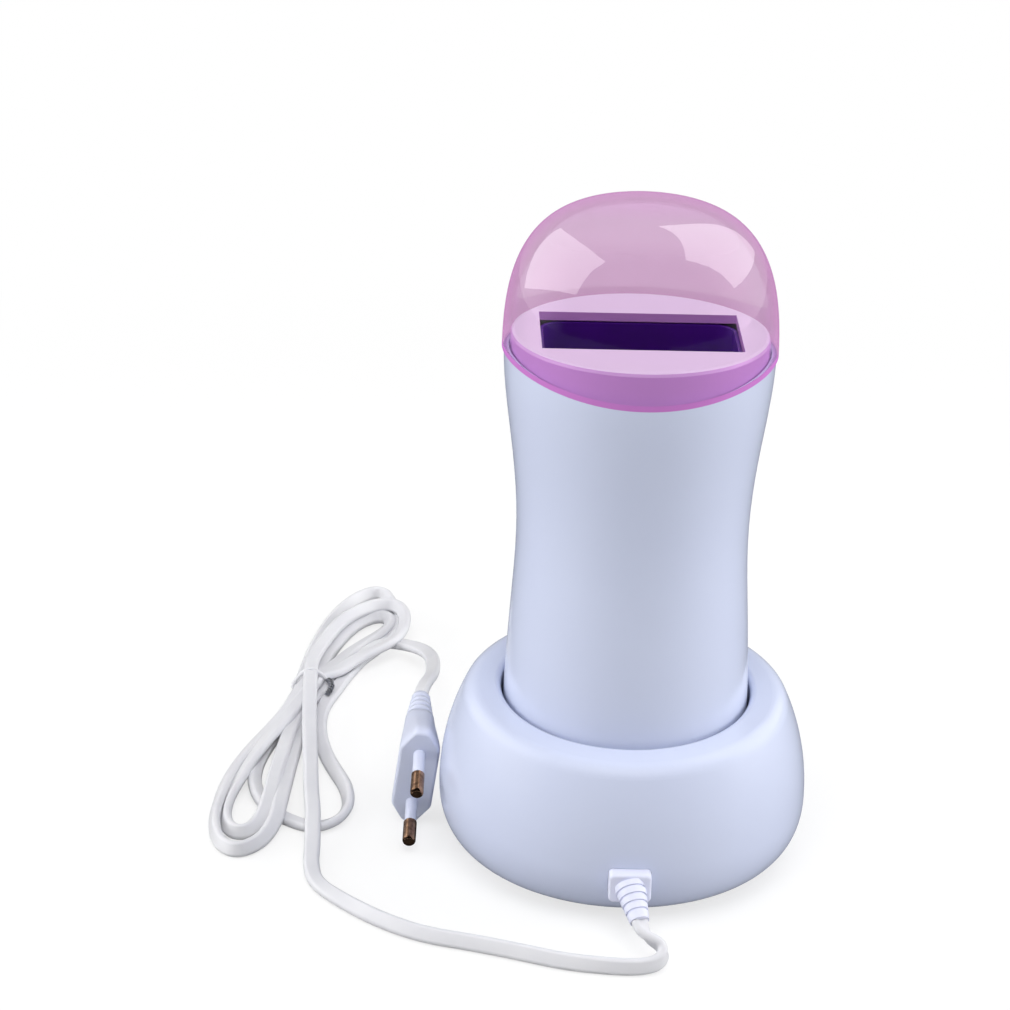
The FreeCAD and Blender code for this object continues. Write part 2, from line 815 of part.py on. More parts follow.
def makeInlet():
    """The block moulded on the cord, and the ribbed boot that comes out of it."""
    body = doc.addObject("PartDesign::Body", "inlet_block")
    outline = sketchOn(body, "inlet_outline", "XZ_Plane", inletBack)
    half, lift = s.inletWidth / 2, s.inletHeight / 2
    rectangle(outline, (-half, s.inletLevel - lift), (half, s.inletLevel + lift))
    pad(body, "inlet_pad", outline, inletFace - inletBack)
    flange = sketchOn(body, "flange_outline", "XZ_Plane", inletBack)
    more = s.inletFlange
    rectangle(flange, (-half - more, s.inletLevel - lift - more), (half + more, s.inletLevel + lift + more))
    back = pad(body, "inlet_flange", flange, s.inletFlangeThickness)
    front = -inletFace.value + 0.1
    corners = roundEdges(body, "inlet_corners", back, s.inletRound,
                         lambda edge: edge.BoundBox.YMin < front and edge.BoundBox.YLength > 1)
    roundEdges(body, "inlet_face_round", corners, s.inletRound / 2, lambda edge: edge.BoundBox.YMax < front)

    rings = 4
    pitch = s.reliefLength / (rings + 1)
    taper = (s.reliefRadius - s.reliefTipRadius) / (rings + 1)
    boot = doc.addObject("PartDesign::Body", "relief_boot")
    outline = [(zero, zero)]
    for k in range(rings + 1):
        radius = s.reliefRadius - k * taper
        outline.append((radius, k * pitch))
        if k < rings:
            outline.append((radius - taper * 0.6, (k + 0.7) * pitch))
            outline.append((radius - s.reliefRingDepth - taper * 0.6, (k + 0.72) * pitch))
            outline.append((radius - s.reliefRingDepth - taper, (k + 1) * pitch - pitch * 0.02))
    outline += [(s.reliefTipRadius, s.reliefLength), (zero, s.reliefLength)]
    revolved(boot, "boot_turned", outline)
    boot.Placement = Placement(Vector(0, -(inletFace - s.reliefSunk).value, s.inletLevel.value),
                               Rotation(Z, reliefWay))
    boot.setExpression("Placement.Base.y", (-(inletFace - s.reliefSunk)).text)
    boot.setExpression("Placement.Base.z", s.inletLevel.text)
    keep(fuse("relief_whole", [body, boot]), "strain_relief")


def makeClamp():
    level = s.innerLeadLevel + s.sheathRadius
    body = newBody("cord_clamp")
    outline = sketchOn(body, "clamp_outline", "XY_Plane", level)
    half = s.clampPostSpacing / 2 + s.clampPostRadius
    rectangle(outline, (-half, -s.clampPlace - s.clampWidth / 2), (half, -s.clampPlace + s.clampWidth / 2))
    pad(body, "clamp_bar", outline, s.clampThickness)
    holes = sketchOn(body, "clamp_holes_outline", "XY_Plane", level)
    heads = sketchOn(body, "clamp_heads_outline", "XY_Plane", level + s.clampThickness - s.screwHeadHeight)
    for side in (-1, 1):
        spot = (side * s.clampPostSpacing / 2, -s.clampPlace)
        circle(holes, spot, s.screwHoleRadius)
        circle(heads, spot, s.clampWidth / 2 - s.screwHeadClearance)
    drill(body, "clamp_holes", holes, s.clampThickness)
    drill(body, "clamp_heads", heads, s.screwHeadHeight)
    under = level + s.clampThickness - s.screwHeadHeight
    screws = []
    for side in (-1, 1):
        at = (side * s.clampPostSpacing / 2, -s.clampPlace, under)
        head = rod(f"clamp_screw_head_{side + 1}", s.clampWidth / 2 - 2 * s.screwHeadClearance, at,
                   s.screwHeadHeight)
        shank = rod(f"clamp_screw_shank_{side + 1}", s.screwRadius, at, s.screwLength / 2, "-Z")
        screws.append(fuse(f"clamp_screw_{side + 1}", [head, shank]))
    keep(group("clamp_screw_group", screws), "clamp_screws")


def makeInnerLead():
    top, low = s.inletLevel.value, s.innerLeadLevel.value
    shaft, end, bend = (inletBack - s.innerLeadRun).value, s.innerLeadEnd.value, s.innerLeadBend.value
    corners = [(0, -inletBack.value, top), (0, -shaft, top), (0, -shaft, low), (0, -end, low)]
    path = [Vector(*c) for c in corners]
    edges = []
    start = path[0]
    for before, corner, after in zip(path, path[1:], path[2:]):
        come = (corner - before).normalize()
        go = (after - corner).normalize()
        enter, leave = corner - come * bend, corner + go * bend
        middle = corner + (go - come).normalize() * (bend * (math.sqrt(2) - 1))
        edges += [Part.LineSegment(start, enter).toShape(), Part.Arc(enter, middle, leave).toShape()]
        start = leave
    edges.append(Part.LineSegment(start, path[-1]).toShape())
    ring = Part.Wire(Part.makeCircle(s.sheathRadius.value, path[0], Y))
    lead = doc.addObject("Part::Feature", "inner_lead_tube")
    lead.Shape = Part.Wire(edges).makePipeShell([ring], True, False)
    keep(lead, "inner_lead")

    wires = []
    wireTop = (terminalBottom + s.terminalThickness + s.wireRadius).value
    tabEnd = -(s.blockHalfDepth + s.terminalReach).value
    for side in (-1, 1):
        x = side * contactX.value
        points = [(side * s.sheathRadius.value / 2, -end, low), (side * s.sheathRadius.value / 2, -end + 4, low),
                  (x * 0.8, tabEnd - 3, wireTop + 0.3), (x, tabEnd, wireTop), (x, tabEnd + 3, wireTop)]
        wires.append(tube(f"base_wire_{side + 1}", points, s.wireRadius.value))
    keep(group("base_wire_group", wires), "base_wires")


makeInlet()
makeClamp()
makeInnerLead()

# ---- handset shell and bottom cap ------------------------------------------------

handsetBottom = s.seatHeight + s.seatGap
capTop = handsetBottom + s.capThickness
chamberBottom = s.chamberFloorHeight - s.chamberWall
supportBottom = chamberBottom - s.supportThickness


def handsetOutline(inset, top):
    """Points of the handset's side from the foot up, at a depth under its skin."""
    named = [(footRadius, s.footHeight), (gripRadius, s.gripHeight), (waistRadius, s.waistHeight),
             (neckRadius, s.neckHeight), (shoulderRadius, shoulderHeight)]
    points = [(r.value - inset, z.value) for r, z in named]
    (r0, z0), (r1, z1) = points[-2:]
    lip = r1 + (r1 - r0) / (z1 - z0) * 0.55 * (top - z1)
    return points + [(lip, top)]


def makeHandsetShell():
    bottom, foot = handsetBottom.value, footRadius.value
    corner = s.footRound.value
    top = partingHeight.value + 2
    outer = handsetOutline(0.0, top)
    skin = smooth(outer, (0, 1), (0.12, 1))
    inner = handsetOutline(s.shellWall.value, top)
    lining = smooth(inner, (0, 1), (0.12, 1))
    bevel = Part.Arc(Vector(foot - corner, 0, bottom),
                     Vector(foot - corner + corner * math.sin(math.pi / 4), 0,
                            bottom + corner - corner * math.cos(math.pi / 4)),
                     Vector(foot, 0, bottom + corner)).toShape()
    edges = [bevel, line((foot, bottom + corner), outer[0]), skin, line(outer[-1], inner[-1]), lining,
             line(inner[0], (inner[0][0], bottom)), line((inner[0][0], bottom), (foot - corner, bottom))]
    wall = turned("handset_wall", edges)
    drum = rod("parting_drum", s.partingRadius,
               (-lidRadius - 5, zero, partingHeight - s.partingRadius), 2 * lidRadius + 10, "X")
    trimmed = common("handset_trimmed", [wall, drum])

    ledgeBottom = ledgeHeight - s.ledgeThickness
    ringOuter = shoulderRadius - s.shellWall / 2 - s.trayClearance * 3
    ledge = cut("tray_ledge", rod("ledge_disc", ringOuter, (zero, zero, ledgeBottom), s.ledgeThickness),
                [rod("ledge_bore", ledgeRadius, (zero, zero, ledgeBottom), s.ledgeThickness)])
    bosses, holes = [], []
    for k, (c, d) in enumerate(polar(3, 90)):
        at = (c * capScrewCircle, d * capScrewCircle, capTop)
        bosses.append(rod(f"cap_boss_{k}", s.shellBossRadius, at, s.capBossHeight))
        holes.append(rod(f"cap_pilot_{k}", s.screwRadius, at, s.screwLength))
    for k, (c, d) in enumerate(polar(4, 45)):
        at = (c * supportScrewCircle, d * supportScrewCircle, supportBottom - s.supportBossHeight)
        bosses.append(rod(f"support_boss_{k}", s.shellBossRadius, at, s.supportBossHeight))
        drillAt = (at[0], at[1], supportBottom - s.screwLength)
        holes.append(rod(f"support_pilot_{k}", s.screwRadius, drillAt, s.screwLength))
    holes.append(rod("lens_hole", s.lensRadius + s.capClearance, (zero, waistRadius - 2 * s.shellWall, s.lampLevel),
                     4 * s.shellWall, "Y"))
    shell = cut("handset_drilled", fuse("handset_solid", [trimmed, ledge] + bosses), holes)
    keep(shell, "handset_shell")


def makeBottomCap():
    body = newBody("handset_bottom_cap")
    disc = sketchOn(body, "cap_outline", "XY_Plane", handsetBottom)
    circle(disc, (zero, zero), footRadius - s.shellWall - s.capClearance)
    pad(body, "cap_disc", disc, s.capThickness)
    through = sketchOn(body, "cap_screw_places", "XY_Plane", handsetBottom)
    heads = sketchOn(body, "cap_head_places", "XY_Plane", handsetBottom)
    for c, d in polar(3, 90):
        spot = (c * capScrewCircle, d * capScrewCircle)
        circle(through, spot, s.screwHoleRadius)
        circle(heads, spot, s.screwHeadRadius)
    drill(body, "cap_screw_holes", through, s.capThickness)
    drill(body, "cap_head_recesses", heads, s.capThickness / 2)
    seats = sketchOn(body, "pad_places", "XY_Plane", handsetBottom)
    stems = sketchOn(body, "stem_places", "XY_Plane", handsetBottom)
    for side in (-1, 1):
        circle(seats, (side * contactX, zero), s.padRadius)
        circle(stems, (side * contactX, zero), s.padStemRadius)
    drill(body, "pad_seats", seats, s.padThickness)
    drill(body, "stem_holes", stems, s.capThickness)


def makeCapHardware():
    pads = []
    for side in (-1, 1):
        at = (side * contactX, zero, handsetBottom)
        face = rod(f"pad_face_{side + 1}", s.padRadius, at, s.padThickness)
        stem = rod(f"pad_stem_{side + 1}", s.padStemRadius, at, s.padStemLength)
        pads.append(fuse(f"pad_{side + 1}", [face, stem]))
    keep(group("pads", pads), "contact_pads")
    screws = []
    for k, (c, d) in enumerate(polar(3, 90)):
        at = (c * capScrewCircle, d * capScrewCircle, handsetBottom + s.capThickness / 2)
        head = rod(f"cap_screw_head_{k}", s.screwHeadRadius - s.screwHeadClearance, at, s.capThickness / 2 * 0.9, "-Z")
        shank = rod(f"cap_screw_shank_{k}", s.screwRadius, at, s.capThickness / 2 + s.screwLength * 0.9)
        screws.append(fuse(f"cap_screw_{k}", [head, shank]))
    keep(group("cap_screw_group", screws), "cap_screws")


makeHandsetShell()
makeBottomCap()
makeCapHardware()

# ---- cartridge chamber, its support and the tray -------------------------------

trayUnderside = s.trayHeight - s.trayThickness
chamberTop = trayUnderside - s.chamberTopGap


def makeSupport():
    body = newBody("chamber_support")
    disc = sketchOn(body, "support_outline", "XY_Plane", supportBottom)
    circle(disc, (zero, zero), supportRadius)
    pad(body, "support_disc", disc, s.supportThickness)
    holes = sketchOn(body, "support_hole_places", "XY_Plane", supportBottom)
    for c, d in polar(4, 45):
        circle(holes, (c * supportScrewCircle, d * supportScrewCircle), s.screwHoleRadius)
    for side in (-1, 1):
        circle(holes, (side * contactX, side * s.wireHolePlace), s.wireHoleRadius)
    drill(body, "support_holes", holes, s.supportThickness)
    screws = []
    for k, (c, d) in enumerate(polar(4, 45)):
        at = (c * supportScrewCircle, d * supportScrewCircle, chamberBottom)
        head = rod(f"support_screw_head_{k}", s.screwHeadRadius * 0.8, at, s.screwHeadHeight)
        shank = rod(f"support_screw_shank_{k}", s.screwRadius, at, s.supportThickness + s.screwLength * 0.9, "-Z")
        screws.append(fuse(f"support_screw_{k}", [head, shank]))
    keep(group("support_screw_group", screws), "support_screws")


def makeChamber():
    body = newBody("heating_chamber")
    halfX, halfY = s.chamberWidth / 2 + s.chamberWall, s.chamberDepth / 2 + s.chamberWall
    outline = sketchOn(body, "chamber_outline", "XY_Plane", chamberBottom)
    rectangle(outline, (-halfX, -halfY), (halfX, halfY))
    pad(body, "chamber_block", outline, chamberTop - chamberBottom)
    hollow = sketchOn(body, "chamber_space", "XY_Plane", s.chamberFloorHeight)
    rectangle(hollow, (-s.chamberWidth / 2, -s.chamberDepth / 2), (s.chamberWidth / 2, s.chamberDepth / 2))
    well = drill(body, "chamber_pocket", hollow, chamberTop - s.chamberFloorHeight)
    inner = s.chamberWidth.value / 2 + s.chamberWall.value / 2
    lining = roundEdges(body, "chamber_inner_corners", well, s.chamberCorner,
                        lambda edge: upright(edge) and abs(edge.CenterOfMass.x) < inner)
    roundEdges(body, "chamber_corners", lining, s.chamberCorner + s.chamberWall,
               lambda edge: upright(edge) and abs(edge.CenterOfMass.x) > inner)


def makeTray():
    outer = shoulderRadius - s.shellWall - s.trayClearance
    body = newBody("top_tray")
    skirtInner = outer - s.traySkirtWall
    edge = s.trayRound
    corners = [(zero, trayUnderside), (skirtInner, trayUnderside), (skirtInner, ledgeHeight),
               (outer, ledgeHeight), (outer, s.trayHeight - edge),
               (outer - edge * 0.3, s.trayHeight - edge * 0.3), (outer - edge, s.trayHeight),
               (zero, s.trayHeight)]
    revolved(body, "tray_turned", corners)
    slot = sketchOn(body, "slot_outline", "XY_Plane", trayUnderside)
    rectangle(slot, (-slotWidth / 2, -s.slotDepth / 2), (slotWidth / 2, s.slotDepth / 2))
    drill(body, "cartridge_slot", slot, s.trayThickness)
    # four snap hooks that hold the tray under the shell's ledge
    hookOuter = ledgeRadius - s.hookClearance
    barbTop = ledgeHeight - s.ledgeThickness - s.hookClearance
    legs = sketchOn(body, "hook_legs", "XY_Plane", barbTop - s.hookThickness)
    barbs = sketchOn(body, "hook_barbs", "XY_Plane", barbTop - s.hookThickness)
    half = s.hookWidth / 2
    inside = hookOuter - s.hookThickness
    for side in (-1, 1):
        near, far = (inside, hookOuter) if side > 0 else (-hookOuter, -inside)
        rectangle(legs, (-half, near), (half, far))
        rectangle(legs, (near, -half), (far, half))
        tip = hookOuter + s.hookBarb
        near, far = (inside, tip) if side > 0 else (-tip, -inside)
        rectangle(barbs, (-half, near), (half, far))
        rectangle(barbs, (near, -half), (far, half))
    pad(body, "hook_leg_pads", legs, trayUnderside - barbTop + s.hookThickness)
    pad(body, "hook_barb_pads", barbs, s.hookThickness)


makeSupport()
makeChamber()
makeTray()

# ---- heaters and controls ---------------------------------------------------------

heaterY = s.chamberDepth / 2 + s.chamberWall
elementY = heaterY + s.heaterThickness
sheetY = elementY + s.elementThickness
bracketY = sheetY + s.padSheet


def sideBox(name, side, halfWidth, nearY, farY, lowZ, highZ):
    """A box on the front (+1) or back (-1) of the chamber."""
    if side > 0:
        return box(name, (-halfWidth, nearY, lowZ), (halfWidth, farY, highZ))
    return box(name, (-halfWidth, -farY, lowZ), (halfWidth, -nearY, highZ))


def makeHeaters():
    low, high = s.elementLevel - s.elementHeight / 2, s.elementLevel + s.elementHeight / 2
    for side, label in ((1, "front"), (-1, "back")):
        turn, inward = ("-Y", "-Y") if side > 0 else ("Y", "Y")
        plate = sideBox(f"heater_block_{label}", side, heaterWidth / 2, heaterY, elementY,
                        s.heaterBottom, s.heaterTop)
        bracketLow = s.elementLevel - s.bracketHeight / 2
        bracketHigh = s.elementLevel + s.bracketHeight / 2
        screwX = bracketWidth / 2 - s.bracketLeg / 2
        pilots = [rod(f"heater_pilot_{label}_{hand + 1}", s.screwRadius * 0.8,
                      (hand * screwX, side * elementY, s.elementLevel), s.heaterThickness * 0.8, inward)
                  for hand in (-1, 1)]
        keep(cut(f"heater_plate_{label}_drilled", plate, pilots), f"heater_plate_{label}")
        keep(sideBox(f"element_{label}", side, elementWidth / 2, elementY, sheetY, low, high),
             f"ptc_element_{label}")
        keep(sideBox(f"sheet_{label}", side, elementWidth / 2 + s.padSheet, sheetY, bracketY, low, high),
             f"mica_sheet_{label}")
        strip = sideBox(f"bracket_strip_{label}", side, bracketWidth / 2, bracketY,
                        bracketY + s.bracketSheet, bracketLow, bracketHigh)
        feet = []
        for hand in (-1, 1):
            near, far = bracketWidth / 2 - s.bracketLeg, bracketWidth / 2
            lowX, highX = (near, far) if hand > 0 else (-far, -near)
            yNear, yFar = (elementY, bracketY) if side > 0 else (-bracketY, -elementY)
            feet.append(box(f"bracket_foot_{label}_{hand + 1}", (lowX, yNear, bracketLow),
                            (highX, yFar, bracketHigh)))
        holes = [rod(f"bracket_hole_{label}_{hand + 1}", s.screwRadius,
                     (hand * screwX, side * (bracketY + s.bracketSheet), s.elementLevel),
                     bracketY + s.bracketSheet - elementY, turn) for hand in (-1, 1)]
        keep(cut(f"bracket_drilled_{label}", fuse(f"bracket_solid_{label}", [strip] + feet), holes),
             f"element_bracket_{label}")
        screws = []
        for hand in (-1, 1):
            at = (hand * screwX, side * (bracketY + s.bracketSheet), s.elementLevel)
            reach = bracketY + s.bracketSheet - elementY + s.heaterThickness * 0.7
            head = rod(f"bracket_screw_head_{label}_{hand + 1}", s.screwHeadRadius * 0.7, at,
                       s.screwHeadHeight * 0.7, "Y" if side > 0 else "-Y")
            shank = rod(f"bracket_screw_shank_{label}_{hand + 1}", s.screwRadius * 0.75, at, reach, turn)
            screws.append(fuse(f"bracket_screw_{label}_{hand + 1}", [head, shank]))
        keep(group(f"bracket_screw_group_{label}", screws), f"bracket_screws_{label}")


def makeControls():
    collar = rod("thermostat_collar", s.thermostatRadius, (zero, -elementY, s.thermostatLevel),
                 s.thermostatCollar, "-Y")
    top = rod("thermostat_case", s.thermostatRadius * 0.8, (zero, -elementY, s.thermostatLevel),
              s.thermostatHeight, "-Y")
    tabs = [box(f"thermostat_tab_{side + 1}",
                (side * s.thermostatRadius / 2 - s.terminalWidth / 2, -elementY - s.thermostatHeight,
                 s.thermostatLevel - s.thermostatRadius * 1.3),
                (side * s.thermostatRadius / 2 + s.terminalWidth / 2,
                 -elementY - s.thermostatHeight + s.terminalThickness, s.thermostatLevel))
            for side in (-1, 1)]
    keep(fuse("thermostat_whole", [collar, top] + tabs), "thermostat")
    keep(rod("fuse_case", s.fuseRadius, (-s.fuseLength / 2, elementY + s.fuseRadius, s.fuseLevel),
             s.fuseLength, "X"), "thermal_fuse")


def makeLamp():
    """Pilot lamp and its lens, in the wall on the side away from the cord."""
    span = s.gripHeight - s.footHeight
    share = (s.lampLevel - s.footHeight) / span
    skin = footRadius + (gripRadius - footRadius) * share
    wallInside = skin - s.shellWall
    flangeReach = s.lensRadius + s.lensFlange
    flangeBack = wallInside - s.lensFlange
    stem = rod("lens_stem", s.lensRadius, (zero, flangeBack, s.lampLevel), s.shellWall + s.lensFlange, "Y")
    rim = rod("lens_rim", flangeReach, (zero, flangeBack - s.lensFlange, s.lampLevel), s.lensFlange, "Y")
    keep(fuse("lens_whole", [stem, rim]), "indicator_lens")
    lampFront = flangeBack - s.lensFlange - s.seatGap
    glass = rod("lamp_glass", s.lampRadius, (zero, lampFront - s.lampLength + s.lampRadius, s.lampLevel),
                s.lampLength - s.lampRadius, "Y")
    keep(glass, "indicator_lamp")


def makeHandsetWires():
    wires = []
    start = (handsetBottom + s.padStemLength).value
    level = supportBottom.value
    for side in (-1, 1):
        x, y = side * contactX.value, side * s.wireHolePlace.value
        sweep = s.wireSweep.value
        end = (s.elementLevel - s.elementHeight / 2).value if side > 0 \
            else (s.thermostatLevel - s.thermostatRadius * 1.3).value
        tip = side * (elementY.value + s.elementThickness.value / 2) if side > 0 \
            else -(elementY + s.thermostatHeight - s.terminalThickness / 2).value
        tipX = x if side > 0 else -s.thermostatRadius.value / 2
        leadIn = s.wireLeadIn.value
        points = [(x, 0, start), (x, 0, start + leadIn), (x, y * 0.45, start + sweep), (x, y, level - sweep),
                  (x, y, level + sweep), (x * 0.95, y * 0.99, end - leadIn - sweep * 0.75),
                  (tipX, tip, end - leadIn), (tipX, tip, end)]
        wires.append(tube(f"handset_wire_{side + 1}", points, s.wireRadius.value))
    keep(group("handset_wire_group", wires), "handset_wires")


makeHeaters()
makeControls()
makeLamp()
makeHandsetWires()

# ---- lid -----------------------------------------------------------------------


def domeOutline(inset, bottom):
    """The lid's side and flat crown: a superellipse over a straight belt."""
    radius = lidRadius.value - inset
    belt, power = lidBelt.value, s.lidPower.value
    rise = lidTop.value - inset - belt
    steps = 12
    points = []
    for k in range(steps + 1):
        angle = math.pi / 2 * k / steps
        points.append((radius * math.cos(angle) ** (2 / power), belt + rise * math.sin(angle) ** (2 / power)))
    points[-1] = (0.0, belt + rise)
    curve = smooth(points, (0, 1), (-1, 0))
    return [line((radius, bottom), points[0]), curve], (radius, bottom), points[-1]


def makeLid():
    bottom = lidBelt.value - 2
    outer, outerFoot, outerTop = domeOutline(0.0, bottom)
    inner, innerFoot, innerTop = domeOutline(s.lidWall.value, bottom)
    dome = turned("lid_dome", outer + inner + [line(outerFoot, innerFoot), line(outerTop, innerTop)])
    drum = rod("lid_parting_drum", s.partingRadius + s.lidGap,
               (-lidRadius - 5, zero, partingHeight - s.partingRadius), 2 * lidRadius + 10, "X")
    keep(cut("lid_trimmed", dome, [drum]), "lid")


makeLid()

# ---- mains cord, hank, tie and plug ----------------------------------------------

reliefEnd = Vector(0, -(inletFace - s.reliefSunk).value, s.inletLevel.value) + reliefWay * s.reliefLength.value
onTable = s.cordRadius.value
front = -inletFace.value
leadRoute = [
    tuple(reliefEnd),
    tuple(reliefEnd + reliefWay * 3.0),
    (5.3, front - 11.6, 7.9),
    (8.3, front - 12.0, 6.0),
    (9.4, front - 14.6, 4.3),
    (7.0, front - 17.6, 2.8),
    (1.0, front - 18.8, onTable),
    (-8.5, front - 17.8, onTable),
    (-19.0, front - 15.6, onTable),
    (-31.0, -69.6, onTable),
    (-44.5, -65.0, onTable),
    (-58.5, -61.2, onTable),
    (-71.5, -52.8, onTable),
    (-83.0, -41.5, onTable),
    (-91.5, -32.0, onTable),
    (-94.8, -21.5, onTable + 0.8),
    (-95.2, -12.0, onTable + 2.0),
    (-95.6, -4.5, onTable + 2.4),
]
plugX, plugY = -(bellyRadius + s.plugStandoff).value, 5.0
hankOutline = [
    (-115, -20.5), (-122, -15.5), (-125.5, 0), (-124.5, 16), (-118.5, 39), (-110.5, 61), (-104.5, 82),
    (-104, 97), (-104, 112), (-101, 131), (-94, 152), (-87, 167.5), (-80, 174), (-73, 169.5), (-69.5, 158),
    (-68.5, 146), (-71.5, 133), (-79, 122), (-88, 110), (-94.5, 98), (-93.5, 82), (-88.5, 60), (-83, 36),
    (-80.5, 18), (-81.5, 6), (-87.5, -3.5), (-96, -6), (-101, -9), (-105, -15.5), (-109.5, -19.5),
]
tieAt = (-99.3, 99.0)


def makeHank():
    curve = Part.BSplineCurve()
    curve.interpolate([Vector(x, y, s.hankBottom.value) for x, y in hankOutline], PeriodicFlag=True)
    face = Part.Face(Part.Wire(curve.toShape()))
    hank = doc.addObject("Part::Feature", "hank_solid")
    hank.Shape = face.extrude(Vector(0, 0, s.hankHeight.value))
    keep(hank, "power_cord_hank")


def makeTie():
    half = 6.3
    gap, sheetWall = s.tieClearance, s.tieSheet
    low, high = s.hankBottom - sheetWall, s.hankBottom + s.hankHeight + gap
    x0, x1 = tieAt[0] - half, tieAt[0] + half
    y0 = tieAt[1] - s.tieWidth / 2
    y1 = y0 + s.tieWidth
    outer = box("tie_outer", (x0 - sheetWall, y0, low), (x1 + sheetWall, y1, high + sheetWall))
    inner = box("tie_inner", (asSize(x0), y0, low + sheetWall), (asSize(x1), y1, high))
    twist = rod("tie_twist", sheetWall, (x1 - sheetWall, y0 - 7, high - sheetWall), asSize(8), "Y")
    keep(fuse("tie_whole", [cut("tie_band", outer, [inner]), twist]), "cord_tie")


def plugPlacement():
    """Face towards -Y, width upright, nose down on its lower edge and leaning to +X."""
    lean, nose = math.radians(s.plugLean.value), math.radians(s.plugDip.value)
    halfWidth, edge = s.plugWidth.value / 2, s.plugEdge.value / 2
    level = halfWidth * math.cos(lean) * math.cos(nose) + edge * math.sin(lean) + s.plugFloorGap.value
    turn = Rotation(Z, s.plugTurn.value) * Rotation(Y, s.plugLean.value) * Rotation(X, s.plugDip.value)
    return Placement(Vector(plugX, plugY, level), turn)


def makePlug():
    lean = plugPlacement()

    def ring(y, halfWidth, halfFlat, halfThick, halfEdge):
        spots = [(halfEdge, halfWidth), (halfThick, halfFlat), (halfThick, -halfFlat), (halfEdge, -halfWidth),
                 (-halfEdge, -halfWidth), (-halfThick, -halfFlat), (-halfThick, halfFlat), (-halfEdge, halfWidth)]
        return Part.makePolygon([Vector(x, y, z) for x, z in spots + spots[:1]])

    width, flat = s.plugWidth.value / 2, s.plugFlat.value / 2
    thick, edge = s.plugThickness.value / 2, s.plugEdge.value / 2
    neck = s.plugNeckRadius.value
    front = Part.makeLoft([ring(0, width, flat, thick, edge),
                           ring(s.plugStraight.value, width, flat, thick, edge)], True, True)
    back = Part.makeLoft([ring(s.plugStraight.value, width, flat, thick, edge),
                          ring(s.plugBody.value, neck * 1.25, neck * 0.6, neck, neck * 0.6)], True, True)
    rings = 5
    pitch = s.plugRelief.value / rings
    taper = (neck - s.plugTipRadius.value) / rings
    relief = [Part.makeCone(neck - k * taper, neck - (k + 0.6) * taper, pitch * 0.75,
                            Vector(0, s.plugBody.value + k * pitch, 0), Y) for k in range(rings)]
    core = Part.makeCone(neck * 0.8, s.plugTipRadius.value * 0.9, s.plugRelief.value,
                         Vector(0, s.plugBody.value, 0), Y)
    body = front.fuse([back, core] + relief).removeSplitter()
    plug = doc.addObject("Part::Feature", "plug_whole")
    plug.Shape = body
    plug.Placement = lean
    keep(plug, "plug_body")

    pins, sleeves = [], []
    for hand in (-1, 1):
        z = hand * s.pinSpacing.value / 2
        sleeve = Part.makeCylinder(s.sleeveRadius.value, s.sleeveLength.value, Vector(0, 0, z), -Y)
        tip = Part.makeCylinder(s.pinRadius.value, s.pinLength.value - s.sleeveLength.value,
                                Vector(0, -s.sleeveLength.value, z), -Y)
        ends = [k for k, e in enumerate(tip.Edges) if abs(e.CenterOfMass.y + s.pinLength.value) < 0.01]
        tip = tip.makeFillet(s.pinRound.value, [tip.Edges[ends[0]]])
        pins.append(tip)
        sleeves.append(sleeve)
    for label, shapes in (("plug_pins", pins), ("plug_pin_sleeves", sleeves)):
        item = doc.addObject("Part::Feature", label + "_pair")
        item.Shape = Part.makeCompound(shapes)
        item.Placement = lean
        keep(item, label)


def makeCord():
    length = (s.plugBody + s.plugRelief).value
    plugEnd = plugPlacement().multVec(Vector(0, length, 0))
    afterPlug = plugPlacement().multVec(Vector(0, length + 3.0, 0))
    tailRoute = [
        (-77.0, 129.8, onTable + 2.6),
        (-70.0, 127.3, onTable + 3.2),
        (-63.2, 118.0, onTable + 6.0),
        (-59.3, 102.5, onTable + 10.6),
        (-58.3, 84.5, onTable + 15.1),
        (-58.6, 69.5, onTable + 19.0),
        (-60.2, 57.5, onTable + 22.4),
        tuple(afterPlug),
        tuple(plugEnd),
    ]
    keep(tube("cord_lead", leadRoute, s.cordRadius.value), "power_cord_lead")
    keep(tube("cord_tail", tailRoute, s.cordRadius.value), "power_cord_tail")


makeHank()
makeTie()
makePlug()
makeCord()

# ---- check and write ---------------------------------------------------------------

doc.recompute()
faults = [f"{item.Name}: {item.State}" for item in doc.Objects
          if "Invalid" in item.State or "Error" in item.State]
for node in nodes:
    shape = node.Shape
    if shape.isNull() or not shape.isValid() or not shape.Solids:
        faults.append(f"{node.Label}: no valid solid")
if faults:
    raise RuntimeError("; ".join(faults))
os.makedirs("parts", exist_ok=True)
for node in nodes:
    node.Shape.exportStep(f"parts/{node.Label}.step")
whole = Part.makeCompound([node.Shape for node in nodes]).BoundBox
print(f"{len(nodes)} sub-parts, {whole.XLength:.1f} x {whole.YLength:.1f} x {whole.ZLength:.1f} mm")
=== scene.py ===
import json
import math

import bmesh
import bpy
from mathutils import Euler, Matrix, Vector


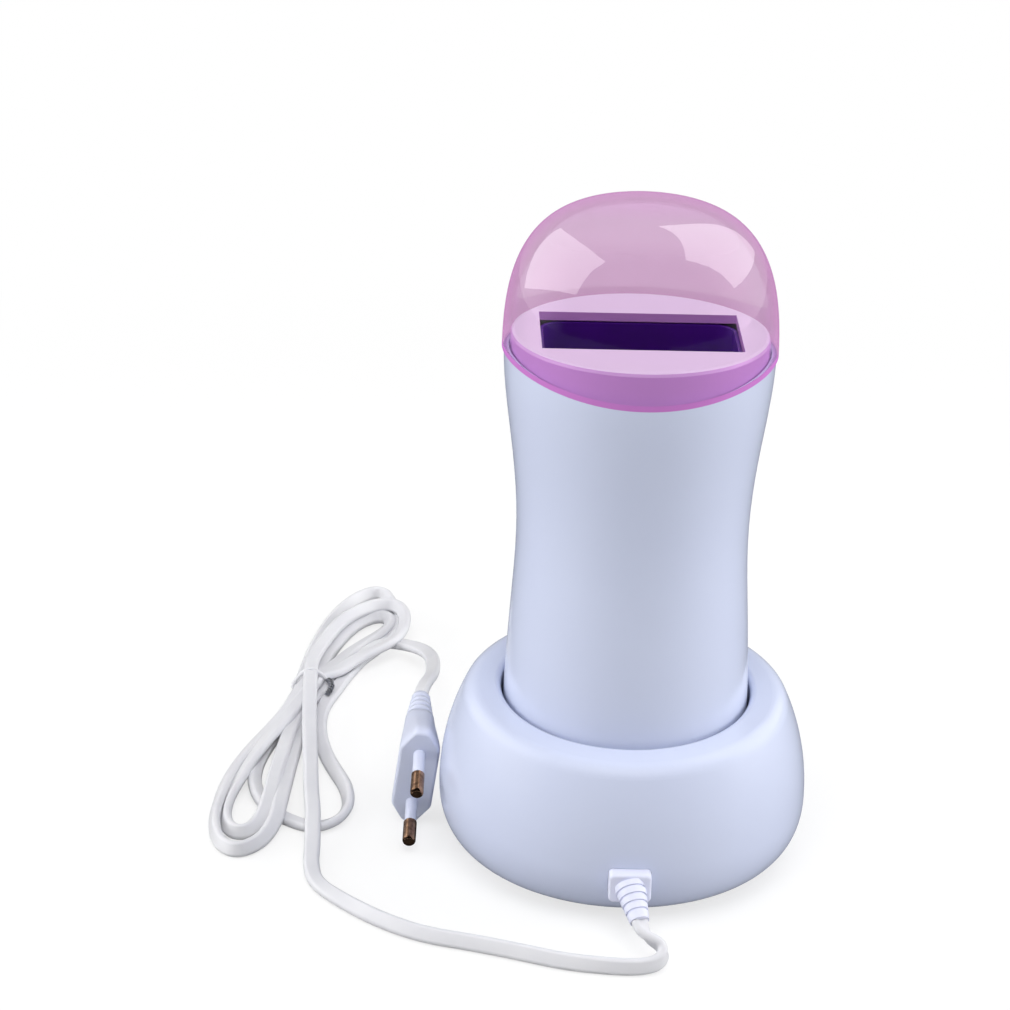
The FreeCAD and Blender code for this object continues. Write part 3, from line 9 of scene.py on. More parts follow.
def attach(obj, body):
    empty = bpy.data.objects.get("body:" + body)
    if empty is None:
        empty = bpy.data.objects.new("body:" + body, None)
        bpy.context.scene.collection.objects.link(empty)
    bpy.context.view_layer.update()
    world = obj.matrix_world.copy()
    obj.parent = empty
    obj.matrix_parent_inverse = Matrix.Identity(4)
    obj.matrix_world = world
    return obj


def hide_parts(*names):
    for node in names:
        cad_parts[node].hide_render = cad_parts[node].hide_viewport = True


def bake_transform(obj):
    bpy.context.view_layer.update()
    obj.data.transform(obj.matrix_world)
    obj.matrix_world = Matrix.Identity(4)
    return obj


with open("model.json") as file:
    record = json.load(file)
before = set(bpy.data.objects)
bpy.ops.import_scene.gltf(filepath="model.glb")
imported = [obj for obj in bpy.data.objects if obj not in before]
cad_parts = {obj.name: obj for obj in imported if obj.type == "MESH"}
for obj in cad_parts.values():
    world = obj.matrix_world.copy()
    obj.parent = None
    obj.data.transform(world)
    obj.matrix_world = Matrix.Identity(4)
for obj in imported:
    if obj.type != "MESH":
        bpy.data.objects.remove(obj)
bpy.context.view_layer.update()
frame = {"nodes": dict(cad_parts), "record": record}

# Roll-on wax heater in its base, with a folded mains cord. Metres, +Z up,
# origin on the table under the middle of the base, -Y towards the viewer.

nodes = frame["nodes"]
scene = bpy.context.scene
scene.view_settings.view_transform = "Standard"


# A screen colour (0 to 255) as the linear colour that a shader takes.
def paint(red, green, blue):
    def linear(level):
        part = level / 255
        return part / 12.92 if part <= 0.04045 else ((part + 0.055) / 1.055) ** 2.4
    return (linear(red), linear(green), linear(blue), 1.0)


# Camera: place in metres, angles in degrees, lens and sensor in millimetres

camera = {
    "place": (-0.04704, -0.72068, 0.39956),
    "pitch": 21.941,
    "yaw": 0.791,
    "roll": 1.386,
    "lens": 95.72,
    "sensor": 36.0,
}


def makeCamera():
    pitch, yaw, roll = (math.radians(camera[key]) for key in ("pitch", "yaw", "roll"))
    ahead = Vector((math.sin(yaw) * math.cos(pitch), math.cos(yaw) * math.cos(pitch), -math.sin(pitch)))
    level = Vector((math.cos(yaw), -math.sin(yaw), 0))
    raised = level.cross(ahead)
    side = level * math.cos(roll) + raised * math.sin(roll)
    up = raised * math.cos(roll) - level * math.sin(roll)
    data = bpy.data.cameras.new("camera")
    data.lens, data.sensor_width = camera["lens"], camera["sensor"]
    data.clip_start, data.clip_end = 0.01, 50
    view = bpy.data.objects.new("camera", data)
    view.matrix_world = Matrix((side, up, -ahead)).transposed().to_4x4()
    view.location = camera["place"]
    scene.collection.objects.link(view)
    scene.camera = view


makeCamera()
print("camera placed")

# Shader groups shared by the materials


def newGroup(name, inputs, outputs):
    tree = bpy.data.node_groups.new(name, "ShaderNodeTree")
    for label, kind, start in inputs:
        socket = tree.interface.new_socket(label, in_out="INPUT", socket_type=kind)
        if start is not None:
            socket.default_value = start
    for label, kind in outputs:
        tree.interface.new_socket(label, in_out="OUTPUT", socket_type=kind)
    return tree, tree.nodes.new("NodeGroupInput"), tree.nodes.new("NodeGroupOutput")


# Gives a socket its value: a link when it comes from another node, else a plain number or colour.
def feed(tree, socket, value):
    if isinstance(value, bpy.types.NodeSocket):
        tree.links.new(value, socket)
    else:
        socket.default_value = value


def mapRange(tree, value, low, high, start=0.2, stop=0.8, kind="SMOOTHSTEP"):
    node = tree.nodes.new("ShaderNodeMapRange")
    node.interpolation_type = kind
    bounds = (("Value", value), ("From Min", start), ("From Max", stop), ("To Min", low), ("To Max", high))
    for socket, level in bounds:
        feed(tree, node.inputs[socket], level)
    return node.outputs["Result"]


def noise(tree, place, scale, detail=3.0):
    node = tree.nodes.new("ShaderNodeTexNoise")
    node.inputs["Detail"].default_value = detail
    feed(tree, node.inputs["Vector"], place)
    feed(tree, node.inputs["Scale"], scale)
    return node.outputs["Fac"]


def blend(tree, factor, first, second, kind="FLOAT"):
    node = tree.nodes.new("ShaderNodeMix")
    node.data_type = kind
    for socket, value in (("Factor", factor), ("A", first), ("B", second)):
        feed(tree, node.inputs[socket], value)
    return node.outputs["Result"]


def mixColors(tree, factor, first, second):
    return blend(tree, factor, first, second, "RGBA")


def mixShaders(tree, factor, first, second):
    node = tree.nodes.new("ShaderNodeMixShader")
    for socket, value in zip(node.inputs, (factor, first, second)):
        feed(tree, socket, value)
    return node.outputs[0]


def calculate(tree, operation, first, second):
    node = tree.nodes.new("ShaderNodeMath")
    node.operation = operation
    feed(tree, node.inputs[0], first)
    feed(tree, node.inputs[1], second)
    return node.outputs[0]


# Moulded plastic or rubber: a fine grain and slow clouds of gloss and tone.
def makeMouldedGrain():
    tree, start, end = newGroup(
        "mouldedGrain",
        [("Color", "NodeSocketColor", (0.8, 0.8, 0.8, 1)),
         ("Cloud Color", "NodeSocketColor", (0.7, 0.7, 0.7, 1)),
         ("Cloud Scale", "NodeSocketFloat", 30.0), ("Grain Scale", "NodeSocketFloat", 1500.0),
         ("Gloss Low", "NodeSocketFloat", 0.2), ("Gloss High", "NodeSocketFloat", 0.3)],
        [("Color", "NodeSocketColor"), ("Roughness", "NodeSocketFloat"), ("Height", "NodeSocketFloat")])
    place = tree.nodes.new("ShaderNodeTexCoord").outputs["Object"]
    cloud = noise(tree, place, start.outputs["Cloud Scale"])
    grain = noise(tree, place, start.outputs["Grain Scale"], 2.0)
    share = mapRange(tree, cloud, 0.0, 1.0)
    gloss = mapRange(tree, cloud, start.outputs["Gloss Low"], start.outputs["Gloss High"])
    color = mixColors(tree, share, start.outputs["Color"], start.outputs["Cloud Color"])
    tree.links.new(color, end.inputs["Color"])
    tree.links.new(gloss, end.inputs["Roughness"])
    tree.links.new(grain, end.inputs["Height"])
    return tree


# Metal with fine lines along one direction and a few dull patches.
def makeDrawnMetal():
    tree, start, end = newGroup(
        "drawnMetal",
        [("Color", "NodeSocketColor", (0.6, 0.6, 0.6, 1)),
         ("Dull Color", "NodeSocketColor", (0.4, 0.4, 0.4, 1)),
         ("Line Stretch", "NodeSocketVector", (1.0, 0.05, 1.0)), ("Patch Scale", "NodeSocketFloat", 300.0),
         ("Gloss Low", "NodeSocketFloat", 0.15), ("Gloss High", "NodeSocketFloat", 0.4)],
        [("Color", "NodeSocketColor"), ("Roughness", "NodeSocketFloat"), ("Height", "NodeSocketFloat")])
    place = tree.nodes.new("ShaderNodeTexCoord").outputs["Object"]
    stretch = tree.nodes.new("ShaderNodeVectorMath")
    stretch.operation = "MULTIPLY"
    tree.links.new(place, stretch.inputs[0])
    tree.links.new(start.outputs["Line Stretch"], stretch.inputs[1])
    linesPerMetre, detail = 4000.0, 4.0
    lines = noise(tree, stretch.outputs["Vector"], linesPerMetre, detail)
    patch = noise(tree, place, start.outputs["Patch Scale"], detail)
    share = mapRange(tree, patch, 0.0, 1.0)
    gloss = mapRange(tree, patch, start.outputs["Gloss Low"], start.outputs["Gloss High"])
    color = mixColors(tree, share, start.outputs["Color"], start.outputs["Dull Color"])
    tree.links.new(color, end.inputs["Color"])
    tree.links.new(gloss, end.inputs["Roughness"])
    tree.links.new(lines, end.inputs["Height"])
    return tree


mouldedGrain = makeMouldedGrain()
drawnMetal = makeDrawnMetal()
reliefDepth = {"moulded": 0.00005, "drawn": 0.00003}  # of the finest grain and lines


# A Principled material whose colour, gloss and bump come from a shared group.
def newMaterial(name, group, settings, shader, bump, depth):
    material = bpy.data.materials.new(name)
    material.use_nodes = True
    tree = material.node_tree
    surface = tree.nodes["Principled BSDF"]
    detail = tree.nodes.new("ShaderNodeGroup")
    detail.node_tree = group
    for socket, value in settings.items():
        detail.inputs[socket].default_value = value
    tree.links.new(detail.outputs["Color"], surface.inputs["Base Color"])
    tree.links.new(detail.outputs["Roughness"], surface.inputs["Roughness"])
    relief = tree.nodes.new("ShaderNodeBump")
    relief.inputs["Strength"].default_value = bump
    relief.inputs["Distance"].default_value = depth
    tree.links.new(detail.outputs["Height"], relief.inputs["Height"])
    tree.links.new(relief.outputs["Normal"], surface.inputs["Normal"])
    for socket, value in shader.items():
        surface.inputs[socket].default_value = value
    return material


# Plastic or rubber, whose colour and gloss drift a little with slow clouds.
# The scales count clouds and grains in a metre.
def plastic(name, color, cloudColor, low, high, bump=0.05, cloud=30.0, grain=1500.0, coat=0.0):
    settings = {"Color": paint(*color), "Cloud Color": paint(*cloudColor), "Cloud Scale": cloud,
                "Grain Scale": grain, "Gloss Low": low, "Gloss High": high}
    return newMaterial(name, mouldedGrain, settings, {"Coat Weight": coat}, bump, reliefDepth["moulded"])


# Metal, whose fine lines run along the axis that has the small number in stretch.
def metal(name, color, dullColor, low, high, stretch=(1.0, 0.05, 1.0), patch=300.0, bump=0.15):
    settings = {"Color": paint(*color), "Dull Color": paint(*dullColor), "Line Stretch": stretch,
                "Patch Scale": patch, "Gloss Low": low, "Gloss High": high}
    return newMaterial(name, drawnMetal, settings, {"Metallic": 1.0}, bump, reliefDepth["drawn"])


# Finishes, by the slot that a part names: two colours, and roughness from and to

finishes = {
    "shell_plastic": plastic("shellSkin", (205, 212, 234), (203, 210, 233), 0.20, 0.26, 0.03, coat=0.15),
    "tray_plastic": plastic("traySkin", (243, 238, 254), (241, 235, 253), 0.3, 0.4, 0.04),
    "dark_liner": plastic("linerCoat", (68, 3, 132), (60, 2, 118), 0.4, 0.55, 0.2, 60.0, 2500.0),
    "heater_metal": metal("plateMetal", (192, 194, 198), (170, 172, 176), 0.3, 0.45),
    "element_ceramic": plastic("elementCeramic", (92, 90, 88), (80, 78, 76), 0.6, 0.8, 0.4, 80.0, 3000.0),
    "mica": plastic("micaSheet", (190, 178, 150), (170, 156, 128), 0.3, 0.5, 0.2, 120.0, 2500.0),
    "bracket_steel": metal("bracketSteel", (176, 178, 182), (150, 152, 158), 0.25, 0.45, (0.05, 1.0, 1.0)),
    "screw_steel": metal("screwSteel", (182, 184, 190), (140, 142, 148), 0.2, 0.4),
    "spring_steel": metal("springSteel", (170, 172, 178), (130, 132, 138), 0.2, 0.35),
    "contact_brass": metal("contactBrass", (206, 172, 104), (170, 132, 76), 0.15, 0.35, (1.0, 1.0, 0.05)),
    "inner_plastic": plastic("innerPlastic", (226, 226, 222), (216, 216, 212), 0.4, 0.55, 0.1),
    "control_plastic": plastic("controlPlastic", (34, 34, 36), (26, 26, 28), 0.35, 0.5, 0.15),
    "fuse_case": metal("fuseCase", (184, 184, 188), (160, 160, 164), 0.2, 0.35, (0.05, 1.0, 1.0)),
    "foot_rubber": plastic("footRubber", (64, 64, 68), (54, 54, 58), 0.7, 0.85, 0.3, 90.0, 2500.0),
    "cord_pvc": plastic("cordSheath", (226, 226, 229), (216, 216, 221), 0.38, 0.5, 0.1, 45.0, 1800.0),
    "plug_pvc": plastic("plugMoulding", (214, 218, 236), (209, 214, 233), 0.3, 0.42, 0.08, 40.0, 1800.0),
    "pin_brass": metal("pinBrass", (196, 156, 126), (112, 82, 64), 0.12, 0.28, (1.0, 0.05, 1.0), 500.0),
    "wire_pvc": plastic("wireSheath", (150, 40, 34), (138, 34, 30), 0.4, 0.5, 0.05),
    "lens_plastic": plastic("lensPlastic", (196, 40, 34), (186, 34, 30), 0.1, 0.16, 0.02),
    "lamp_glass": plastic("lampBulb", (236, 196, 160), (226, 184, 150), 0.05, 0.1, 0.02),
    "tie_plastic": plastic("tieSkin", (228, 228, 231), (214, 214, 218), 0.4, 0.55, 0.1, 120.0, 3000.0),
    "lid_plastic": plastic("lidClear", (250, 244, 250), (249, 242, 249), 0.0, 0.015, 0.01),
}
reliefMoulding = plastic("reliefMoulding", (226, 228, 246), (222, 225, 244), 0.3, 0.42, 0.08, 40.0, 1800.0)
# painted shade: the darker violet given to the tray's skirt
traySkirtShade = (208, 160, 226)


# The tray's own colour is for its top; its sideways-facing skirt gets painted shade, a deeper violet as if
# lit only through the tinted lid.
def paintSkirtShade():
    tree = finishes["tray_plastic"].node_tree
    surface = tree.nodes["Principled BSDF"]
    top = surface.inputs["Base Color"].links[0].from_socket
    way = tree.nodes.new("ShaderNodeSeparateXYZ")
    tree.links.new(tree.nodes.new("ShaderNodeNewGeometry").outputs["Normal"], way.inputs[0])
    upward = mapRange(tree, way.outputs["Z"], 0.0, 1.0)
    # surfaces facing up keep the top colour, those facing sideways get the painted shade
    feed(tree, surface.inputs["Base Color"], mixColors(tree, upward, paint(*traySkirtShade), top))


paintSkirtShade()

lidTint = {
    # two walls seen one behind the other: face on, and at the silhouette
    "face": (216, 174, 208),
    "edge": (226, 168, 220),
    "edgeFrom": 0.50,
    "edgeTo": 0.95,
    "edgeShare": 0.85,
    # light goes almost straight through the wall, and the coat on it gives the reflections
    "wallIor": 1.01,
    "coatIor": 2.4,
    # the bottom rim's painted glow colour; the rim lies on a drum across the handset: its radius, its top
    # and the height of the painted glow
    "rim": (190, 120, 193),
    "partingRadius": 0.143,
    "partingHeight": 0.158,
    "rimHeight": 0.0018,
}


# A plain see-through shader for one of the two walls, so it takes the root of the colour.
def clearBsdf(tree, color):
    node = tree.nodes.new("ShaderNodeBsdfTransparent")
    node.inputs["Color"].default_value = tuple(level ** 0.5 for level in color)
    return node.outputs[0]


# 1 on the outer surface of the lid, 0 on its inner surface.
def outerSide(tree, middle):
    geometry = tree.nodes.new("ShaderNodeNewGeometry")
    offset = tree.nodes.new("ShaderNodeVectorMath")
    offset.operation = "SUBTRACT"
    feed(tree, offset.inputs[0], tree.nodes.new("ShaderNodeTexCoord").outputs["Object"])
    offset.inputs[1].default_value = middle
    facing = tree.nodes.new("ShaderNodeVectorMath")
    facing.operation = "DOT_PRODUCT"
    feed(tree, facing.inputs[0], geometry.outputs["Normal"])
    feed(tree, facing.inputs[1], offset.outputs["Vector"])
    side = blend(tree, geometry.outputs["Backfacing"], 1.0, -1.0)
    return calculate(tree, "GREATER_THAN", calculate(tree, "MULTIPLY", facing.outputs["Value"], side), 0.0)


# 1 where the camera's own ray meets the lid's bottom rim before any other wall: the mask of the painted
# glow.
def rimSeen(tree, path):
    spot = tree.nodes.new("ShaderNodeSeparateXYZ")
    feed(tree, spot.inputs[0], tree.nodes.new("ShaderNodeTexCoord").outputs["Object"])
    drumAxis = lidTint["partingHeight"] - lidTint["partingRadius"]
    rise = calculate(tree, "SUBTRACT", spot.outputs["Z"], drumAxis)
    squares = [calculate(tree, "POWER", side, 2.0) for side in (rise, spot.outputs["Y"])]
    reach = (lidTint["partingRadius"] + lidTint["rimHeight"]) ** 2
    inRim = calculate(tree, "LESS_THAN", calculate(tree, "ADD", *squares), reach)
    firstHit = calculate(tree, "LESS_THAN", path["Transparent Depth"], 0.5)
    shown = calculate(tree, "MULTIPLY", path["Is Camera Ray"], firstHit)
    return calculate(tree, "MULTIPLY", inRim, shown)


# Clear tinted plastic: the outer surface carries the tint, the gloss and the deeper silhouette.
# Light on its way to the tray passes, and the bottom rim gets a painted glow: a flat pink diffuse band,
# seen only by the camera, in place of the light gathered in the rim.
def clearLid():
    tree = finishes["lid_plastic"].node_tree
    surface, end = tree.nodes["Principled BSDF"], tree.nodes["Material Output"]
    shader = {"Transmission Weight": 1.0, "IOR": lidTint["wallIor"],
              "Coat Weight": 1.0, "Coat IOR": lidTint["coatIor"]}
    for socket, value in shader.items():
        surface.inputs[socket].default_value = value
    corners = [Vector(corner) for corner in nodes["lid"].bound_box]
    middle = sum(corners, Vector()) / len(corners)
    path = tree.nodes.new("ShaderNodeLightPath").outputs
    facing = tree.nodes.new("ShaderNodeLayerWeight").outputs["Facing"]
    grazing = mapRange(tree, facing, 0.0, 1.0, lidTint["edgeFrom"], lidTint["edgeTo"])
    face, edge = paint(*lidTint["face"]), paint(*lidTint["edge"])
    feed(tree, surface.inputs["Base Color"], mixColors(tree, grazing, face, edge))
    share = calculate(tree, "MULTIPLY", grazing, lidTint["edgeShare"])
    tinted = mixShaders(tree, share, surface.outputs[0], clearBsdf(tree, edge))
    light = calculate(tree, "MAXIMUM", path["Is Shadow Ray"], path["Is Diffuse Ray"])
    seen = calculate(tree, "MULTIPLY", outerSide(tree, middle), calculate(tree, "SUBTRACT", 1.0, light))
    walls = mixShaders(tree, seen, clearBsdf(tree, (1, 1, 1, 1)), tinted)
    # painted glow: pink diffuse colour on the bottom rim where the camera meets it first
    rim = tree.nodes.new("ShaderNodeBsdfDiffuse")
    rim.inputs["Color"].default_value = paint(*lidTint["rim"])
    feed(tree, end.inputs["Surface"], mixShaders(tree, rimSeen(tree, path), walls, rim.outputs[0]))


clearLid()


def dress(part, material):
    part.data.materials.clear()
    part.data.materials.append(material)


for row in frame["record"]["subparts"]:
    dress(nodes[row["node"]], finishes[row["material_slot"]])
dress(nodes["strain_relief"], reliefMoulding)
print("materials on", len(nodes), "frame parts")

# Contact springs: each one is copied out of its frame part as a loose piece, and the frame part is hidden


def squeezedSpring(side):
    node = nodes["contact_spring_" + side]
    data = node.data.copy()
    data.name = "contactSpring" + side.capitalize()
    data.transform(node.matrix_world)
    piece = bpy.data.objects.new(data.name, data)
    scene.collection.objects.link(piece)
    low, high = (Vector(map(choose, zip(*(point.co for point in data.vertices)))) for choose in (min, max))
    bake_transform(piece)
    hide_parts(node.name)


for side in ("left", "right"):
    squeezedSpring(side)

# Mains cord: one flat twin lead, folded three times and tied

cord = {
    "width": 0.0049,
    "thickness": 0.0030,
    "groove": 0.0005,
    # the drawn part of each round core, in degrees and steps
    "coreArc": 150,
    "arcSteps": 7,
    # the whole length, where the cord leaves the strain relief, and the least gap over the table
    "length": 1.47,
    "exit": (0.0025, -0.0665, 0.0110),
    "overTable": 0.0001,
    # each point: x, y, z and how far the flat lead is turned on its edge, in degrees
    "lead": [
        (0.0021, -0.0649, 0.0119, 0), (0.0025, -0.0665, 0.0110, -10), (0.0032, -0.0690, 0.0095, -25),
        (0.0053, -0.0704, 0.0080, -45), (0.0083, -0.0708, 0.0062, -65), (0.0094, -0.0732, 0.0044, -85),
        (0.0070, -0.0759, 0.0030, -80), (0.0010, -0.0770, 0.0024, -75), (-0.0085, -0.0762, 0.0024, -70),
        (-0.0190, -0.0742, 0.0024, -60), (-0.0310, -0.0696, 0.0024, -60), (-0.0445, -0.0650, 0.0024, -60),
        (-0.0585, -0.0612, 0.0024, -55), (-0.0715, -0.0528, 0.0023, -45), (-0.0830, -0.0415, 0.0020, -25),
        (-0.0905, -0.0320, 0.0017, 0), (-0.0925, -0.0215, 0.0018, 0), (-0.0925, -0.0115, 0.0028, 0),
    ],
    "leadUp": [
        (-0.0930, -0.0030, 0.0045, 0), (-0.0935, 0.0070, 0.0045, 0), (-0.0950, 0.0210, 0.0046, 10),
        (-0.0960, 0.0360, 0.0050, 10), (-0.0975, 0.0545, 0.0056, 10), (-0.0985, 0.0700, 0.0062, 10),
        (-0.0996, 0.0910, 0.0068, 10), (-0.0999, 0.0990, 0.0070, 0), (-0.1002, 0.1070, 0.0070, 0),
    ],
    "upperTwo": [
        (-0.0985, 0.1180, 0.0068, 10), (-0.0955, 0.1310, 0.0066, 20), (-0.0915, 0.1430, 0.0066, 30),
        (-0.0865, 0.1505, 0.0067, 40), (-0.0815, 0.1555, 0.0067, 50), (-0.0765, 0.1575, 0.0067, 60),
        (-0.0720, 0.1555, 0.0067, 60), (-0.0695, 0.1485, 0.0067, 50), (-0.0695, 0.1390, 0.0067, 40),
        (-0.0710, 0.1305, 0.0066, 30), (-0.0750, 0.1235, 0.0064, 20), (-0.0805, 0.1185, 0.0058, 10),
        (-0.0860, 0.1130, 0.0052, 0), (-0.0910, 0.1050, 0.0046, 0), (-0.0975, 0.1025, 0.0043, 0),
        (-0.1005, 0.0980, 0.0042, 0), (-0.1030, 0.0925, 0.0040, 0),
    ],
    "outerLow": [
        (-0.1060, 0.0785, 0.0033, 10), (-0.1105, 0.0670, 0.0024, 20), (-0.1150, 0.0560, 0.0020, 30),
        (-0.1190, 0.0430, 0.0020, 40), (-0.1220, 0.0290, 0.0021, 50), (-0.1232, 0.0155, 0.0023, 60),
        (-0.1236, 0.0040, 0.0024, 70), (-0.1220, -0.0065, 0.0024, 70), (-0.1190, -0.0125, 0.0022, 70),
        (-0.1150, -0.0150, 0.0022, 70), (-0.1105, -0.0120, 0.0022, 60), (-0.1070, -0.0060, 0.0024, 50),
        (-0.1045, 0.0015, 0.0040, 30), (-0.1040, 0.0105, 0.0044, 10), (-0.1035, 0.0235, 0.0036, 0),
        (-0.1030, 0.0390, 0.0026, 0), (-0.1020, 0.0560, 0.0018, 0), (-0.1020, 0.0725, 0.0016, 0),
        (-0.1015, 0.0870, 0.0015, 0), (-0.1032, 0.0960, 0.0015, 0), (-0.1032, 0.1040, 0.0015, 0),
    ],
    "upperOne": [
        (-0.1020, 0.1150, 0.0017, 0), (-0.1005, 0.1275, 0.0022, 10), (-0.0970, 0.1440, 0.0032, 20),
        (-0.0925, 0.1565, 0.0044, 30), (-0.0875, 0.1655, 0.0050, 50), (-0.0825, 0.1705, 0.0052, 60),
        (-0.0785, 0.1705, 0.0052, 60), (-0.0760, 0.1670, 0.0048, 50), (-0.0735, 0.1570, 0.0036, 40),
        (-0.0725, 0.1485, 0.0028, 30), (-0.0745, 0.1395, 0.0020, 20), (-0.0785, 0.1305, 0.0016, 0),
        (-0.0835, 0.1220, 0.0015, 0),
    ],
    "byTheTie": [
        (-0.0880, 0.1095, 0.0015, 0), (-0.0915, 0.0965, 0.0015, 0), (-0.0950, 0.0840, 0.0015, 0),
        (-0.0955, 0.0700, 0.0016, 10),
    ],
    "innerLow": [
        (-0.0940, 0.0580, 0.0018, 20), (-0.0915, 0.0470, 0.0020, 30), (-0.0880, 0.0365, 0.0021, 40),
        (-0.0845, 0.0270, 0.0022, 50), (-0.0830, 0.0175, 0.0022, 60), (-0.0835, 0.0105, 0.0022, 60),
        (-0.0860, 0.0050, 0.0020, 40), (-0.0900, 0.0020, 0.0016, 20), (-0.0945, 0.0020, 0.0014, 0),
        (-0.0990, 0.0045, 0.0014, 0), (-0.1040, 0.0085, 0.0014, 0), (-0.1080, 0.0140, 0.0014, 0),
        (-0.1115, 0.0210, 0.0017, 20), (-0.1135, 0.0300, 0.0020, 40), (-0.1135, 0.0405, 0.0020, 40),
        (-0.1120, 0.0510, 0.0016, 20), (-0.1095, 0.0615, 0.0014, 0), (-0.1070, 0.0730, 0.0014, 0),
        (-0.1025, 0.0840, 0.0018, 0), (-0.0998, 0.0925, 0.0015, 0), (-0.0992, 0.0990, 0.0015, 0),
        (-0.0984, 0.1060, 0.0015, 0),
    ],
    "upperThree": [
        (-0.0972, 0.1140, 0.0015, 0), (-0.0955, 0.1240, 0.0018, 10), (-0.0930, 0.1330, 0.0022, 20),
        (-0.0900, 0.1415, 0.0026, 30), (-0.0860, 0.1490, 0.0030, 40), (-0.0815, 0.1535, 0.0032, 50),
        (-0.0775, 0.1545, 0.0032, 50), (-0.0750, 0.1520, 0.0032, 50), (-0.0748, 0.1470, 0.0032, 40),
        (-0.0775, 0.1405, 0.0032, 30), (-0.0825, 0.1325, 0.0032, 20), (-0.0880, 0.1230, 0.0033, 10),
        (-0.0925, 0.1120, 0.0036, 0), (-0.0968, 0.1030, 0.0041, 0), (-0.0980, 0.0980, 0.0042, 0),
        (-0.1000, 0.0920, 0.0043, 0),
    ],
    "middleLow": [
        (-0.1045, 0.0745, 0.0044, 0), (-0.1080, 0.0635, 0.0044, 10), (-0.1115, 0.0520, 0.0046, 20),
        (-0.1148, 0.0400, 0.0044, 30), (-0.1176, 0.0290, 0.0034, 40), (-0.1198, 0.0190, 0.0026, 50),
        (-0.1205, 0.0105, 0.0022, 60), (-0.1200, 0.0025, 0.0022, 60), (-0.1175, -0.0030, 0.0022, 60),
        (-0.1140, -0.0040, 0.0022, 60), (-0.1110, -0.0010, 0.0024, 50), (-0.1085, 0.0055, 0.0036, 30),
        (-0.1075, 0.0140, 0.0044, 10), (-0.1070, 0.0260, 0.0044, 0), (-0.1062, 0.0400, 0.0042, 0),
        (-0.1050, 0.0565, 0.0036, 0), (-0.1035, 0.0745, 0.0028, 0), (-0.1000, 0.0860, 0.0018, 0),
        (-0.0965, 0.0940, 0.0015, 0), (-0.0954, 0.1010, 0.0015, 0),
    ],
    "out": [
        (-0.0915, 0.1125, 0.0017, 0), (-0.0865, 0.1200, 0.0023, 0), (-0.0815, 0.1255, 0.0030, 0),
        (-0.0770, 0.1295, 0.0045, 0),
    ],
    "tail": [
        (-0.0700, 0.1273, 0.0051, 10), (-0.0632, 0.1180, 0.0079, 20), (-0.0593, 0.1025, 0.0125, 20),
        (-0.0583, 0.0845, 0.0170, 20), (-0.0586, 0.0695, 0.0209, 20), (-0.0602, 0.0575, 0.0243, 20),
        (-0.0615, 0.0482, 0.0255, 20), (-0.0616, 0.0452, 0.0249, 20), (-0.0616, 0.0428, 0.0245, 20),
    ],
}
cordStretches = ("lead", "leadUp", "upperTwo", "outerLow", "upperOne", "byTheTie", "innerLow",
                 "upperThree", "middleLow", "out", "tail")


# The lead's section: two round cores side by side with a shallow groove between.
def makeCordSection():
    radius = cord["thickness"] / 2
    centre = cord["width"] / 2 - radius
    arc, steps = cord["coreArc"], cord["arcSteps"]
    outline = []
    for side in (1, -1):
        for k in range(steps + 1):
            angle = math.radians(arc * (k / steps - 0.5)) + (0 if side > 0 else math.pi)
            outline.append((side * centre + radius * math.cos(angle), radius * math.sin(angle)))
        outline.append((0.0, side * (radius - cord["groove"])))
    data = bpy.data.curves.new("cordSection", "CURVE")
    data.dimensions = "2D"
    spline = data.splines.new("POLY")
    spline.points.add(len(outline) - 1)
    for point, (x, y) in zip(spline.points, outline):
        point.co = (x, y, 0, 1)
    spline.use_cyclic_u = True
    section = bpy.data.objects.new("cordSection", data)
    scene.collection.objects.link(section)
    section.hide_render = True
    section.hide_viewport = True
    return section


def makeCord():
    route = [point for stretch in cordStretches for point in cord[stretch]]
    data = bpy.data.curves.new("mainsCord", "CURVE")
    data.dimensions = "3D"
    data.twist_mode = "Z_UP"
    data.resolution_u = 5
    data.bevel_mode = "OBJECT"
    data.bevel_object = makeCordSection()
    data.use_fill_caps = True
    spline = data.splines.new("NURBS")
    spline.points.add(len(route) - 1)
    core = cord["thickness"] / 2
    for point, (x, y, z, turn) in zip(spline.points, route):
        edge = abs(math.sin(math.radians(turn))) * (cord["width"] / 2 - core)
        point.co = (x, y, max(z, core + edge + cord["overTable"]), 1)
        point.tilt = math.radians(turn)
    spline.order_u = 3
    spline.use_endpoint_u = True
    piece = bpy.data.objects.new("mainsCord", data)
    scene.collection.objects.link(piece)
    data.materials.append(finishes["cord_pvc"])
    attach(piece, "base")
    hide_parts("power_cord_lead", "power_cord_hank", "power_cord_tail")
    return piece


mainsCord = makeCord()
print("cord laid through", sum(len(cord[key]) for key in cordStretches), "points")

# Wire tie round the folded cord

tie = {
    "wire": 0.00065,
    "endWire": 0.000455,
    "band": [(-0.1000, 0.0990, 0.0007), (-0.1052, 0.0990, 0.0009), (-0.1062, 0.0990, 0.0020),
             (-0.1050, 0.0991, 0.0042), (-0.1026, 0.0992, 0.0072), (-0.1000, 0.0993, 0.0088),
             (-0.0972, 0.0992, 0.0074), (-0.0946, 0.0990, 0.0048), (-0.0932, 0.0988, 0.0026),
             (-0.0942, 0.0988, 0.0009)],
    "twistTurns": 4,
    "twistSteps": 24,
    "twistRadius": 0.0006,
    "twistPath": [(-0.0940, 0.0984, 0.0046), (-0.0930, 0.0965, 0.0050), (-0.0926, 0.0940, 0.0048),
                  (-0.0930, 0.0915, 0.0042), (-0.0940, 0.0900, 0.0034)],
}


